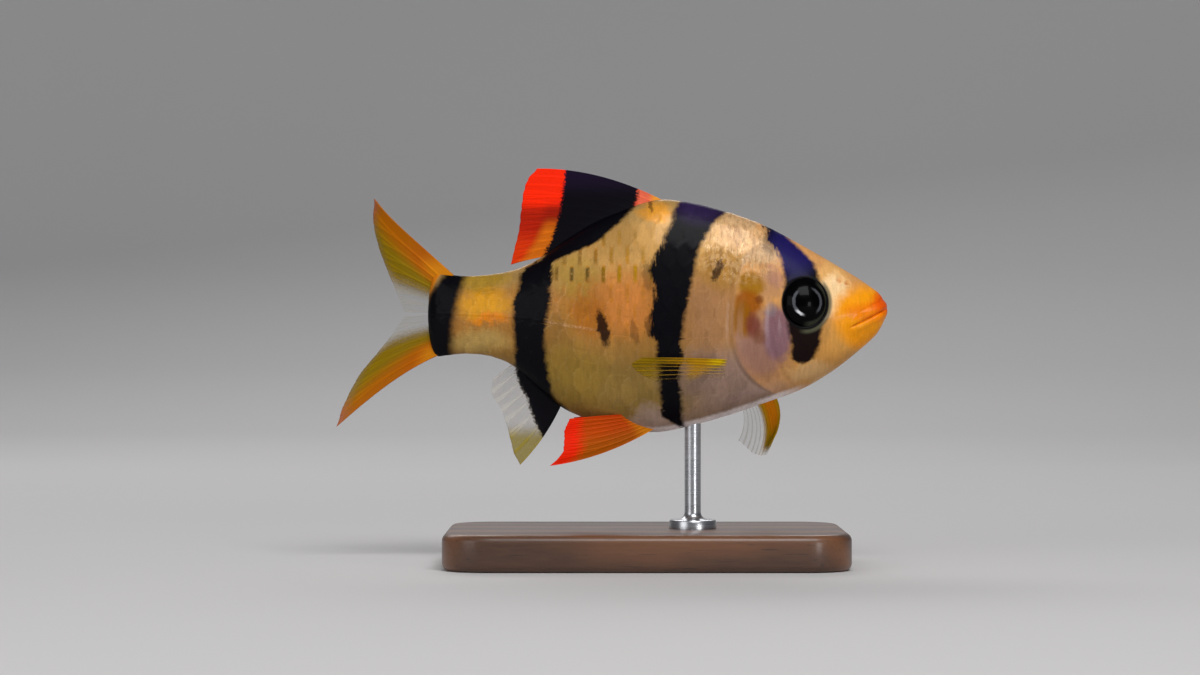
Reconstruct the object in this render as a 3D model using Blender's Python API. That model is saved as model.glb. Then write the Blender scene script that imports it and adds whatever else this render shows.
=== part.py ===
"""Tiger barb, life size, turning gently as it swims, held by a rod on a plain base.

Sizes are in millimetres and MM turns them into metres. The fish is drawn straight first: s runs back from the
snout, h is the height above the floor and w is positive towards the fish's left. bend() then curves it.
"""

import math

import bmesh
import bpy
import numpy as np
from mathutils import Matrix, Vector

MM = 0.001
GAP = 0.3

# The straight body, as distance behind the snout, back, belly, level of the greatest width, and half width
BODY = (
    (0.0, 29.3, 26.7, 28.0, 1.3),
    (1.5, 30.3, 25.0, 27.9, 1.95),
    (3.0, 31.35, 23.65, 27.7, 2.5),
    (5.3, 32.75, 21.8, 27.3, 3.05),
    (9.0, 34.9, 19.5, 26.6, 3.75),
    (13.8, 37.4, 17.7, 25.9, 4.3),
    (18.6, 39.05, 16.1, 25.4, 4.65),
    (22.0, 39.85, 15.2, 25.2, 4.8),
    (25.2, 40.1, 14.6, 25.2, 4.8),
    (29.3, 38.85, 15.0, 25.5, 4.5),
    (32.6, 37.4, 15.9, 25.9, 4.05),
    (35.6, 35.55, 17.2, 26.4, 3.5),
    (38.3, 33.65, 19.3, 26.9, 2.9),
    (41.0, 32.45, 21.75, 27.2, 2.35),
    (43.5, 31.95, 22.85, 27.4, 1.95),
    (46.3, 31.75, 23.2, 27.5, 1.6),
    (49.7, 32.1, 22.9, 27.6, 1.15),
)
LENGTH = 49.7
NOSE_ROUND = 1.3
FLANK_FULLNESS = 0.9
BACK_TAPER = 0.14

# The turn of the spine: straight to the nape, then away to the left, most in the upper lobe of the tail
STRAIGHT = 20.0
BODY_TURN = math.radians(18)
TURN_POWER = 2.1
LOBE_TURN = math.radians(26)
LOBE_TWIST = math.radians(22)
LOBE_LENGTH = 11.0
MID_LEVEL = 27.6
LOBE_LIFT = 12.6
SPINE_STEPS = 64

# Parting of head, torso and tail stalk
GILL_EDGE = 16.7
GILL_LEAN_NAPE = 2.9
GILL_LEAN_THROAT = 5.6
GILL_FADE = 11.0
STALK_START = 41.3

# Relief of the head
GILL_STEP = 0.28
GILL_STEP_LENGTH = 1.3
GILL_TOP = 34.5
GILL_EDGE_FADE = 3.0
CHEEK_TOP = 30.0
CHEEK_EDGE = 12.4
CHEEK_STEP = 0.16
CHEEK_EDGE_WIDTH = 0.4
MOUTH_FRONT = 28.15
MOUTH_SLOPE = 0.5
MOUTH_LENGTH = 4.0
JAW_END = 7.4
JAW_UNDER = 18.0
JAW_AHEAD = -1.5
LIP_SWELL = 0.3
LIP_OFFSET = 0.5
LIP_WIDTH = 0.38
LIP_FADE = 0.8
RELIEF_UPWARD = 0.5
NOSTRILS = ((4.6, 30.95, 0.26), (5.35, 31.25, 0.32))

# Eyes: place in side view, half axes along, up and outwards, and how far the middle lies under the skin
EYE_S = 9.25
EYE_H = 28.75
EYE_HALF = (2.5, 2.8, 1.3)
EYE_DEPTH = 0.55
EYE_FORWARD = 0.19
EYE_UPWARD = 0.12
RIM_SWELL = 0.2
RIM_WIDTH = 0.5

# Fins
MEMBRANE = 0.5
RAY_RIDGE = 0.34
RIDGE_THINNING = 0.45
RAY_FLANK = 0.3
EDGE_THINNING = 0.35
EDGE_START = 0.8
ROOT_REACH = 0.16
MEDIAN_FLESH = 0.3
TAIL_FLESH = 1.1
PAIRED_FLESH = 0.25
FIN_ROWS = 8
ROW_SPREAD = 0.9
NUDGE = 0.01
SCALLOP = 0.03
DORSAL_RAYS = 11
ANAL_RAYS = 8
LOBE_RAYS = 9
PECTORAL_RAYS = 10
PELVIC_RAYS = 8

DORSAL_BASE = (24.4, 36.7)
DORSAL_TIPS = (
    (0.0, 38.6, 43.6, 0.3),
    (0.15, 39.7, 42.3, 0.35),
    (0.35, 40.25, 40.2, 0.4),
    (0.65, 40.7, 36.7, 0.3),
    (1.0, 41.5, 33.0, 0.1),
)
DORSAL_BOW = ((0.0, 0.0, 1.1, 0.1), (0.3, 0.0, 0.5, 0.1), (1.0, 0.0, 0.1, 0.0))
ANAL_BASE = (35.7, 40.9)
ANAL_TIPS = (
    (0.0, 40.4, 10.95, -0.3),
    (0.12, 40.95, 12.0, -0.35),
    (0.35, 41.8, 15.0, -0.35),
    (0.6, 42.6, 17.2, -0.25),
    (0.85, 43.6, 18.9, -0.1),
    (1.0, 43.5, 20.4, 0.0),
)
ANAL_BOW = ((0.0, -0.35, -0.2, 0.0), (1.0, 0.0, 0.0, 0.0))
UPPER_LOBE_ROOT = ((0.0, 48.4, 32.4), (0.12, 50.0, 32.5), (1.0, 50.0, 27.76))
UPPER_LOBE_TIPS = (
    (0.0, 60.0, 40.6, 0.0),
    (0.15, 59.5, 38.2, 0.0),
    (0.35, 58.0, 35.0, 0.0),
    (0.6, 56.3, 32.0, 0.0),
    (0.8, 55.0, 29.9, 0.0),
    (1.0, 53.9, 27.9, 0.0),
)
UPPER_LOBE_BOW = ((0.0, 0.0, 0.5, 0.0), (0.5, 0.0, 0.2, 0.0), (1.0, 0.0, 0.0, 0.0))
LOWER_LOBE_ROOT = ((0.0, 50.0, 22.9), (1.0, 50.0, 27.44))
LOWER_LOBE_TIPS = (
    (0.0, 62.2, 15.0, 0.0),
    (0.15, 61.5, 17.3, 0.0),
    (0.35, 59.9, 20.5, 0.0),
    (0.6, 57.3, 23.5, 0.0),
    (0.8, 55.4, 25.5, 0.0),
    (1.0, 53.9, 27.2, 0.0),
)
LOWER_LOBE_BOW = ((0.0, 0.0, 0.75, 0.0), (0.5, 0.0, 0.3, 0.0), (1.0, 0.0, 0.0, 0.0))
PELVIC_ROOT = ((0.0, 24.9, 15.3, 1.0), (1.0, 27.5, 16.3, 2.1))
PELVIC_TIPS = (
    (0.0, 36.7, 11.0, 3.7),
    (0.12, 35.6, 12.1, 3.6),
    (0.3, 35.3, 13.2, 3.5),
    (0.65, 35.25, 14.8, 3.3),
    (1.0, 34.7, 16.1, 3.2),
)
PELVIC_BOW = ((0.0, 0.0, -0.75, 0.3), (1.0, 0.0, 0.1, 0.3))
PECTORAL_ROOT = ((0.0, 16.9, 22.4, 3.6), (1.0, 17.8, 20.1, 3.5))
HELD_BACK_TIPS = (
    (0.0, 27.0, 22.8, 9.4),
    (0.35, 28.0, 22.0, 9.5),
    (0.7, 26.3, 20.6, 8.5),
    (1.0, 23.6, 19.8, 6.8),
)
HELD_BACK_BOW = ((0.0, 0.2, 0.1, 0.5), (1.0, 0.0, 0.0, 0.3))
HELD_DOWN_TIPS = (
    (0.0, 12.8, 12.6, 7.4),
    (0.3, 13.0, 11.8, 8.4),
    (0.7, 14.4, 12.0, 8.8),
    (1.0, 16.0, 13.4, 8.4),
)
HELD_DOWN_BOW = ((0.0, -3.0, 0.4, 0.5), (0.5, -2.0, 0.2, 0.4), (1.0, -1.2, 0.0, 0.3))

# Stand
BASE_LENGTH = 44.0
BASE_WIDTH = 28.0
BASE_HEIGHT = 4.0
BASE_X = 4.0
BASE_CORNER = 5.0
BASE_BEVEL = 0.8
ROD_S = 21.4
ROD_RADIUS = 0.9
FOOT_RADIUS = 2.6
FOOT_HEIGHT = 1.0
FOOT_FILLET = 0.8
FOOT_CHAMFER = 0.2
ROD_OVERRUN = 3.0

# Mesh density
AROUND = 56
HEAD_RINGS = 32
TORSO_RINGS = 19
STALK_RINGS = 7
CLEARANCE_RINGS = 48
SOCKET_SIDES = 30
EYE_SIDES = 22
NOSTRIL_SIDES = 8
ROD_SIDES = 24
HEAD_CROWDING = 1.2
CLEARANCE_CROWDING = 1.1
CORNER_STEPS = 6
FILLET_STEPS = 4
BEVEL_STEPS = 3
SHARP_ANGLE = math.radians(40)
BEVEL_ANGLE = math.radians(50)

# Colours as linear red, green and blue, with roughness and metallic value
GOLD = ((0.62, 0.37, 0.11), 0.35, 0.1)
ORANGE = ((0.72, 0.33, 0.03), 0.35, 0.0)
RED = ((0.75, 0.05, 0.01), 0.4, 0.0)
BLACK = ((0.012, 0.01, 0.02), 0.35, 0.0)
AMBER = ((0.5, 0.23, 0.02), 0.4, 0.0)
WALNUT = ((0.06, 0.03, 0.015), 0.4, 0.0)
STEEL = ((0.55, 0.55, 0.56), 0.3, 1.0)


def curve(table, column):
    """A smooth curve through one column of a table, read at a value of the table's first column."""
    places = np.array([row[0] for row in table], dtype=float)
    values = np.array([row[column] for row in table], dtype=float)
    slopes = np.gradient(values, places)

    def read(at):
        i = int(np.clip(np.searchsorted(places, at) - 1, 0, len(places) - 2))
        step = places[i + 1] - places[i]
        t = (at - places[i]) / step
        start = values[i] + slopes[i] * step * t * (1 - t) ** 2
        rise = (values[i + 1] - values[i]) * t * t * (3 - 2 * t)
        end = slopes[i + 1] * step * t * t * (t - 1)
        return float(start + rise + end)

    return read


def curve_3d(table):
    """A smooth curve through the points of a table, after its first column."""
    reads = [curve(table, column) for column in (1, 2, 3)]
    return lambda at: np.array([read(at) for read in reads])


back = curve(BODY, 1)
belly = curve(BODY, 2)
level = curve(BODY, 3)
half_width = curve(BODY, 4)


def yaw(s, h):
    """The angles by which the spine has turned away at the distances s, on the level h."""
    body = BODY_TURN * (np.clip(s - STRAIGHT, 0, LENGTH - STRAIGHT) / (LENGTH - STRAIGHT)) ** TURN_POWER
    lift = min(max((h - MID_LEVEL) / LOBE_LIFT, -1.0), 1.0)
    lobe = np.maximum(s - LENGTH, 0) / LOBE_LENGTH
    return body + lobe * (LOBE_TURN + LOBE_TWIST * lift)


def spine(s, h):
    """Distance along X and Y that the spine covers from the snout to s, and its angle there."""
    steps = (np.arange(SPINE_STEPS) + 0.5) / SPINE_STEPS * s
    turns = yaw(steps, h)
    stride = s / SPINE_STEPS
    run = float(np.cos(turns).sum() * stride)
    aside = float(np.sin(turns).sum() * stride)
    return run, aside, float(yaw(np.array(s), h))


LOWER_TIP = LOWER_LOBE_TIPS[0]
SNOUT_X = spine(LOWER_TIP[1], LOWER_TIP[2])[0] / 2


def bend(place):
    """A point of the straight fish (s, h, w) on the curved one, in metres."""
    s, h, w = place
    run, aside, turn = spine(s, h)
    return Vector((SNOUT_X - run + w * math.sin(turn), aside + w * math.cos(turn), h)) * MM


def fade(value):
    """0 up to 0, 1 from 1 on, and smooth between."""
    t = min(max(value, 0.0), 1.0)
    return t * t * (3 - 2 * t)


def hill(distance, width):
    return math.exp(-((distance / width) ** 2))


def mouth_level(s):
    return MOUTH_FRONT - MOUTH_SLOPE * s


def head_relief(s, h, station):
    """How far lips, eye rims, cheek and gill cover stand proud of the plain head."""
    off_line = abs(h - mouth_level(s)) - LIP_OFFSET
    lips = LIP_SWELL * hill(off_line, LIP_WIDTH) * (1 - fade(s - MOUTH_LENGTH + LIP_FADE))
    from_eye = math.hypot((s - EYE_S) * EYE_HALF[1] / EYE_HALF[0], h - EYE_H) - EYE_HALF[1] - GAP
    rim = RIM_SWELL * hill(from_eye, RIM_WIDTH)
    side = fade((h - belly(s)) / GILL_EDGE_FADE) * fade((GILL_TOP - h) / GILL_EDGE_FADE)
    gill = GILL_STEP * fade((station - GILL_EDGE + GILL_STEP_LENGTH) / GILL_STEP_LENGTH)
    cheek = CHEEK_STEP * hill(station - CHEEK_EDGE, CHEEK_EDGE_WIDTH)
    cheek *= fade((CHEEK_TOP - h) / GILL_EDGE_FADE)
    return lips + rim + (gill + cheek) * side


def skin(station, turn, on_head):
    """A point of the straight skin, on a station's ring.

    turn goes from -90 degrees at the belly to 90 degrees at the back.
    """
    up = math.sin(turn)
    lean = (GILL_LEAN_NAPE if up > 0 else GILL_LEAN_THROAT) * up * up
    share = (station / GILL_EDGE) ** 2
    if station > GILL_EDGE:
        share = 1 - fade((station - GILL_EDGE) / GILL_FADE)
    s = station - lean * share
    rounding = math.sqrt(1 - (1 - min(s / NOSE_ROUND, 1)) ** 2) if s > 0 else 0
    reach = back(s) - level(s) if up > 0 else level(s) - belly(s)
    h = level(s) + reach * up * rounding
    across = math.copysign(abs(math.cos(turn)) ** FLANK_FULLNESS, math.cos(turn))
    w = half_width(s) * rounding * across * (1 - BACK_TAPER * max(up, 0))
    relief = head_relief(s, h, station) * rounding if on_head else 0
    return s, h + relief * up * RELIEF_UPWARD, w + relief * math.cos(turn)


def ring(station, on_head):
    turns = [-math.pi / 2 + 2 * math.pi * k / AROUND for k in range(AROUND)]
    return [bend(skin(station, turn, on_head)) for turn in turns]


def cap(first, flip):
    """Strips from the left to the right half of a ring whose first point is at the belly."""
    half = AROUND // 2
    faces = [(first, first + 1, first + AROUND - 1)]
    for k in range(1, half - 1):
        faces.append((first + k, first + k + 1, first + AROUND - k - 1, first + AROUND - k))
    faces.append((first + half - 1, first + half, first + half + 1))
    return [face[::-1] for face in faces] if flip else faces


def loft(name, stations, finish, on_head=False, pointed=False):
    """A closed length of the body through its stations' rings; a pointed one starts at the snout's tip."""
    points = [bend((0, level(0), 0))] if pointed else []
    faces = []
    lead = len(points)
    for station in stations:
        points += ring(station, on_head(station) if callable(on_head) else on_head)
    for row in range(len(stations) - 1):
        start = lead + row * AROUND
        for k in range(AROUND):
            after = (k + 1) % AROUND
            faces.append((start + k, start + after, start + AROUND + after, start + AROUND + k))
    if pointed:
        faces += [(0, lead + (k + 1) % AROUND, lead + k) for k in range(AROUND)]
    else:
        faces += cap(lead, True)
    faces += cap(lead + (len(stations) - 1) * AROUND, False)
    return solid(name, points, faces, finish)


def finish_material(name, finish):
    colour, roughness, metallic = finish
    material = bpy.data.materials.new(name)
    material.use_nodes = True
    shader = material.node_tree.nodes["Principled BSDF"]
    shader.inputs["Base Color"].default_value = (*colour, 1)
    shader.inputs["Roughness"].default_value = roughness
    shader.inputs["Metallic"].default_value = metallic
    material.diffuse_color = (*colour, 1)
    return material


def solid(name, points, faces, finish=None):
    """A mesh object with its faces pointing out, smooth shaded, with its origin on its middle."""
    middle = sum((Vector(p) for p in points), Vector()) / len(points)
    mesh = bpy.data.meshes.new(name)
    mesh.from_pydata([Vector(p) - middle for p in points], [], faces)
    work = bmesh.new()
    work.from_mesh(mesh)
    bmesh.ops.recalc_face_normals(work, faces=work.faces)
    work.to_mesh(mesh)
    work.free()
    mesh.shade_smooth()
    mesh.set_sharp_from_angle(angle=SHARP_ANGLE)
    piece = bpy.data.objects.new(name, mesh)
    piece.location = middle
    bpy.context.scene.collection.objects.link(piece)
    if finish:
        mesh.materials.append(finish_material(name, finish))
    return piece


def as_cutter(piece):
    piece.hide_render = True
    piece.display_type = "WIRE"
    return piece


def cut(piece, cutter, operation="DIFFERENCE"):
    """Takes the cutter's shape out of a piece, or keeps only what lies in it."""
    boolean = piece.modifiers.new(operation.lower() + " " + cutter.name, "BOOLEAN")
    boolean.operation = operation
    boolean.solver = "EXACT"
    boolean.object = cutter


def body_side(s, h):
    """Half width of the plain body at distance s and level h."""
    reach = back(s) - level(s) if h > level(s) else level(s) - belly(s)
    up = min(max((h - level(s)) / reach, -1), 1)
    across = math.sqrt(1 - up * up) ** FLANK_FULLNESS
    return half_width(s) * across * (1 - BACK_TAPER * max(up, 0))


def ellipsoid(segments, half, matrix):
    """Points and faces of an ellipsoid whose third half axis is its pole."""
    work = bmesh.new()
    bmesh.ops.create_uvsphere(work, u_segments=segments, v_segments=segments // 2, radius=1)
    stretch = Matrix.Diagonal((half[0] * MM, half[1] * MM, half[2] * MM, 1))
    points = [matrix @ (stretch @ v.co) for v in work.verts]
    faces = [[v.index for v in face.verts] for face in work.faces]
    work.free()
    return points, faces


def eye_frame(side):
    """Place of an eye: its third axis looks out, a little forwards and up; side is -1 on the right."""
    outward = Vector((EYE_FORWARD, side, EYE_UPWARD)).normalized()
    along = Vector((1, 0, 0))
    along = (along - outward * along.dot(outward)).normalized()
    upward = outward.cross(along)
    middle = bend((EYE_S, EYE_H, side * (body_side(EYE_S, EYE_H) - EYE_DEPTH)))
    frame = Matrix((along, upward, outward)).transposed().to_4x4()
    frame.translation = middle
    return frame


def merge(shapes):
    """Several separate shapes as one list of points and one of faces."""
    points = []
    faces = []
    for more_points, more_faces in shapes:
        faces += [[index + len(points) for index in face] for face in more_faces]
        points += more_points
    return points, faces


def jaw_block(margin):
    """A prism across the head, under the line of the mouth, round the lower jaw and a margin of it."""
    side_view = [
        (JAW_AHEAD, mouth_level(JAW_AHEAD) - GAP / 2 + margin),
        (MOUTH_LENGTH + margin, mouth_level(MOUTH_LENGTH) - GAP / 2 + margin),
        (JAW_END + margin, JAW_UNDER),
        (JAW_AHEAD, JAW_UNDER),
    ]
    reach = half_width(JAW_END) * 2
    points = [Vector((SNOUT_X - s, w, h)) * MM for w in (-reach, reach) for s, h in side_view]
    faces = [(0, 1, 2, 3), (7, 6, 5, 4)] + [(k, 4 + k, 4 + (k + 1) % 4, (k + 1) % 4) for k in range(4)]
    return points, faces


def head_loft(name, finish):
    stations = [GILL_EDGE * ((k + 1) / HEAD_RINGS) ** HEAD_CROWDING for k in range(HEAD_RINGS)]
    return loft(name, stations, finish, on_head=True, pointed=True)


def make_head():
    """The head, with sockets and nostrils, and its lower jaw, which the line of the mouth parts from it."""
    head = head_loft("head", ORANGE)
    socket_half = [half + GAP for half in EYE_HALF]
    cuts = [ellipsoid(SOCKET_SIDES, socket_half, eye_frame(side)) for side in (-1, 1)]
    for s, h, radius in NOSTRILS:
        for side in (-1, 1):
            place = Matrix.Translation(bend((s, h, side * body_side(s, h))))
            cuts.append(ellipsoid(NOSTRIL_SIDES, (radius, radius, radius), place))
    cuts.append(jaw_block(GAP))
    points, faces = merge(cuts)
    cut(head, as_cutter(solid("head_cuts", points, faces)))

    jaw = head_loft("lower_jaw", ORANGE)
    points, faces = jaw_block(0)
    cut(jaw, as_cutter(solid("jaw_keeper", points, faces)), "INTERSECT")
    return [head, jaw]


def make_body():
    """Torso, from the gill opening to the end of the anal fin, and tail stalk."""
    start = GILL_EDGE + GAP
    torso = [start + (STALK_START - start) * (k / (TORSO_RINGS - 1)) for k in range(TORSO_RINGS)]
    stalk_start = STALK_START + GAP
    stalk = [stalk_start + (LENGTH - stalk_start) * k / (STALK_RINGS - 1) for k in range(STALK_RINGS)]
    return [loft("torso", torso, GOLD), loft("tail_stalk", stalk, GOLD)]


def make_clearance():
    """The whole body swollen by the gap, which trims what is rooted on it."""
    shares = [((k + 1) / CLEARANCE_RINGS) ** CLEARANCE_CROWDING for k in range(CLEARANCE_RINGS)]
    stations = [LENGTH * share for share in shares]
    clearance = loft("clearance", stations, None, on_head=lambda station: station <= GILL_EDGE, pointed=True)
    swell = clearance.modifiers.new("swell", "DISPLACE")
    swell.mid_level = 0
    swell.strength = GAP * MM
    return as_cutter(clearance)


def fin_thickness(v, on_ray, root_flesh):
    ray = RAY_RIDGE * (1 - RIDGE_THINNING * v) * fade(v / ROOT_REACH) if on_ray else 0
    flesh = root_flesh * hill(v, ROOT_REACH)
    return (MEMBRANE + ray + flesh) * (1 - EDGE_THINNING * fade((v - EDGE_START) / (1 - EDGE_START)))


def fin_columns(rays):
    """Places along the base, each with whether a ray's crest runs there: three columns for each ray."""
    spacing = 1 / (rays - 1)
    columns = []
    for k in range(rays):
        if k > 0:
            columns.append(((k - RAY_FLANK) * spacing, False))
        columns.append((k * spacing, True))
        if k < rays - 1:
            columns.append(((k + RAY_FLANK) * spacing, False))
    return columns


def fin(name, rays, root, tip, bow, finish, root_flesh):
    """A fin between its root line and its margin, with its rays as ridges on both faces."""
    columns = fin_columns(rays)
    rows = [(k / (FIN_ROWS - 1)) ** ROW_SPREAD for k in range(FIN_ROWS)]

    def middle(u, v):
        return bend(root(u) + (tip(u) - root(u)) * v + bow(u) * 4 * v * (1 - v))

    sides = ([], [])
    for u, on_ray in columns:
        for v in rows:
            reach = v * (1 if on_ray else 1 - SCALLOP * v)
            across = middle(min(u + NUDGE, 1), reach) - middle(max(u - NUDGE, 0), reach)
            along = middle(u, min(reach + NUDGE, 1)) - middle(u, max(reach - NUDGE, 0))
            normal = across.cross(along).normalized()
            half = fin_thickness(v, on_ray, root_flesh) / 2 * MM
            sides[0].append(middle(u, reach) + normal * half)
            sides[1].append(middle(u, reach) - normal * half)

    count = len(sides[0])
    across_count = len(columns)
    faces = []
    for column in range(across_count - 1):
        for row in range(FIN_ROWS - 1):
            a = column * FIN_ROWS + row
            b = a + FIN_ROWS
            faces += [(a, b, b + 1), (a, b + 1, a + 1)]
            faces += [(count + b + 1, count + b, count + a), (count + a + 1, count + b + 1, count + a)]
    rim = [column * FIN_ROWS for column in range(across_count)]
    rim += [(across_count - 1) * FIN_ROWS + row for row in range(1, FIN_ROWS)]
    rim += [column * FIN_ROWS + FIN_ROWS - 1 for column in range(across_count - 2, -1, -1)]
    rim += [row for row in range(FIN_ROWS - 2, 0, -1)]
    for here, there in zip(rim, rim[1:] + rim[:1]):
        faces += [(here, count + here, count + there), (here, count + there, there)]
    return solid(name, sides[0] + sides[1], faces, finish)


def along_outline(outline, ends, offset):
    """The root line of a fin on the back or belly, between two distances."""
    def root(u):
        s = ends[0] + (ends[1] - ends[0]) * u
        return np.array((s, outline(s) + offset, 0.0))

    return root


def along_points(table):
    """The root line of a fin that goes straight from point to point of a table."""
    places, s, h = np.array(table).T
    return lambda u: np.array((np.interp(u, places, s), np.interp(u, places, h), 0.0))


def make_median_fins():
    dorsal_root = along_outline(back, DORSAL_BASE, GAP)
    anal_root = along_outline(belly, ANAL_BASE, -GAP)
    fins = []
    for name, rays, root, tips, bow, finish in (
        ("dorsal_fin", DORSAL_RAYS, dorsal_root, DORSAL_TIPS, DORSAL_BOW, RED),
        ("anal_fin", ANAL_RAYS, anal_root, ANAL_TIPS, ANAL_BOW, BLACK),
    ):
        fins.append(fin(name, rays, root, curve_3d(tips), curve_3d(bow), finish, MEDIAN_FLESH))
    return fins


def make_tail_fin():
    """Two lobes that meet on the middle level of the tail stalk; the upper one starts on its back."""
    lobes = []
    for name, root, tips, bow in (
        ("tail_fin_upper_lobe", UPPER_LOBE_ROOT, UPPER_LOBE_TIPS, UPPER_LOBE_BOW),
        ("tail_fin_lower_lobe", LOWER_LOBE_ROOT, LOWER_LOBE_TIPS, LOWER_LOBE_BOW),
    ):
        lobe = fin(name, LOBE_RAYS, along_points(root), curve_3d(tips), curve_3d(bow), AMBER, TAIL_FLESH)
        lobes.append(lobe)
    return lobes


def mirrored(table, side):
    return [(u, s, h, side * w) for u, s, h, w in table]


def paired_fin(name, side, rays, root, tips, bow, finish, clearance):
    reads = [curve_3d(mirrored(table, side)) for table in (root, tips, bow)]
    piece = fin(name, rays, *reads, finish, PAIRED_FLESH)
    cut(piece, clearance)
    return piece


def make_paired_fins(clearance):
    pectorals = (("pectoral_fin_right", -1, HELD_BACK_TIPS, HELD_BACK_BOW),
                 ("pectoral_fin_left", 1, HELD_DOWN_TIPS, HELD_DOWN_BOW))
    fins = []
    for name, side, tips, bow in pectorals:
        fins.append(paired_fin(name, side, PECTORAL_RAYS, PECTORAL_ROOT, tips, bow, AMBER, clearance))
    for name, side in (("pelvic_fin_right", -1), ("pelvic_fin_left", 1)):
        tables = (PELVIC_ROOT, PELVIC_TIPS, PELVIC_BOW)
        fins.append(paired_fin(name, side, PELVIC_RAYS, *tables, RED, clearance))
    return fins


def make_eyes():
    eyes = []
    for name, side in (("eye_right", -1), ("eye_left", 1)):
        points, faces = ellipsoid(EYE_SIDES, EYE_HALF, eye_frame(side))
        eyes.append(solid(name, points, faces, BLACK))
    return eyes


def turned(name, profile, middle, finish, segments):
    """A turned piece from its profile (radius, height), bottom to top, round an upright axis."""
    points = [Vector((middle[0], middle[1], profile[0][1])) * MM]
    for radius, height in profile:
        for k in range(segments):
            angle = 2 * math.pi * k / segments
            points.append(Vector((middle[0] + radius * math.cos(angle), middle[1] + radius * math.sin(angle),
                                  height)) * MM)
    points.append(Vector((middle[0], middle[1], profile[-1][1])) * MM)
    faces = [(0, 1 + (k + 1) % segments, 1 + k) for k in range(segments)]
    for row in range(len(profile) - 1):
        start = 1 + row * segments
        for k in range(segments):
            after = (k + 1) % segments
            faces.append((start + k, start + after, start + segments + after, start + segments + k))
    last = 1 + (len(profile) - 1) * segments
    faces += [(last + k, last + (k + 1) % segments, len(points) - 1) for k in range(segments)]
    return solid(name, points, faces, finish)


def make_stand(clearance):
    """A flat base with round corners, and a rod with a flanged foot up to the belly."""
    outline = []
    for corner_x, corner_y, start in ((1, 1, 0), (-1, 1, 90), (-1, -1, 180), (1, -1, 270)):
        for k in range(CORNER_STEPS + 1):
            angle = math.radians(start + 90 * k / CORNER_STEPS)
            x = corner_x * (BASE_LENGTH / 2 - BASE_CORNER) + BASE_CORNER * math.cos(angle)
            y = corner_y * (BASE_WIDTH / 2 - BASE_CORNER) + BASE_CORNER * math.sin(angle)
            outline.append((BASE_X + x, y))
    count = len(outline)
    points = [Vector((x, y, z)) * MM for z in (0, BASE_HEIGHT) for x, y in outline]
    faces = [tuple(range(count))[::-1], tuple(range(count, 2 * count))]
    faces += [(k, (k + 1) % count, count + (k + 1) % count, count + k) for k in range(count)]
    base = solid("stand_base", points, faces, WALNUT)
    edge = base.modifiers.new("eased edges", "BEVEL")
    edge.width = BASE_BEVEL * MM
    edge.segments = BEVEL_STEPS
    edge.limit_method = "ANGLE"
    edge.angle_limit = BEVEL_ANGLE

    foot = BASE_HEIGHT + GAP
    profile = [(FOOT_RADIUS, foot), (FOOT_RADIUS, foot + FOOT_HEIGHT - FOOT_CHAMFER)]
    profile.append((FOOT_RADIUS - FOOT_CHAMFER, foot + FOOT_HEIGHT))
    for k in range(FILLET_STEPS + 1):
        angle = math.radians(90 * k / FILLET_STEPS)
        out = ROD_RADIUS + FOOT_FILLET * (1 - math.sin(angle))
        profile.append((out, foot + FOOT_HEIGHT + FOOT_FILLET * (1 - math.cos(angle))))
    profile.append((ROD_RADIUS, belly(ROD_S) + ROD_OVERRUN))
    rod = turned("stand_rod", profile, (SNOUT_X - ROD_S, 0), STEEL, ROD_SIDES)
    cut(rod, clearance)
    return [base, rod]


def gather(name, pieces):
    """Parents the pieces to an empty, where they are."""
    group = bpy.data.objects.new(name, None)
    bpy.context.scene.collection.objects.link(group)
    for piece in pieces:
        piece.parent = group


for old in list(bpy.data.objects):
    bpy.data.objects.remove(old, do_unlink=True)

body_clearance = make_clearance()
fish = make_head() + make_body() + make_median_fins() + make_tail_fin()
fish += make_paired_fins(body_clearance) + make_eyes()
gather("fish_group", fish)
gather("stand_group", make_stand(body_clearance))
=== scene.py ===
"""The looks of a life-size tiger barb on a plain stand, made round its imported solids.

Sizes are in millimetres and MM turns them into metres. The fish is drawn straight first: s runs back from the
snout, h is the height above the floor and w is positive towards the fish's left. bend() then curves it.
"""

import math

import bpy
import numpy as np
from mathutils import Matrix, Vector


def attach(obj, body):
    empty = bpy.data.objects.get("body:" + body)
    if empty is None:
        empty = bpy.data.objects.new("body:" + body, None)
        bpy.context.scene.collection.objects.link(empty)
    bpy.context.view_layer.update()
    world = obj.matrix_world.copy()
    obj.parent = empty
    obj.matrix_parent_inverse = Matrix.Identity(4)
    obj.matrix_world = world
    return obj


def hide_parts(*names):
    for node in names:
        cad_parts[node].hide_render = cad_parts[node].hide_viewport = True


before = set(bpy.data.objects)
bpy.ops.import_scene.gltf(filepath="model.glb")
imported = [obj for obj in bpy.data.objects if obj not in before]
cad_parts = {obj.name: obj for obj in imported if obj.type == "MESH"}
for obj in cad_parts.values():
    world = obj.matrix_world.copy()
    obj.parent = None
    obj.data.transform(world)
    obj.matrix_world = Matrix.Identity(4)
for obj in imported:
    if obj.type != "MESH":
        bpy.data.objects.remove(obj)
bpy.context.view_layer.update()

MM = 0.001

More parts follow.
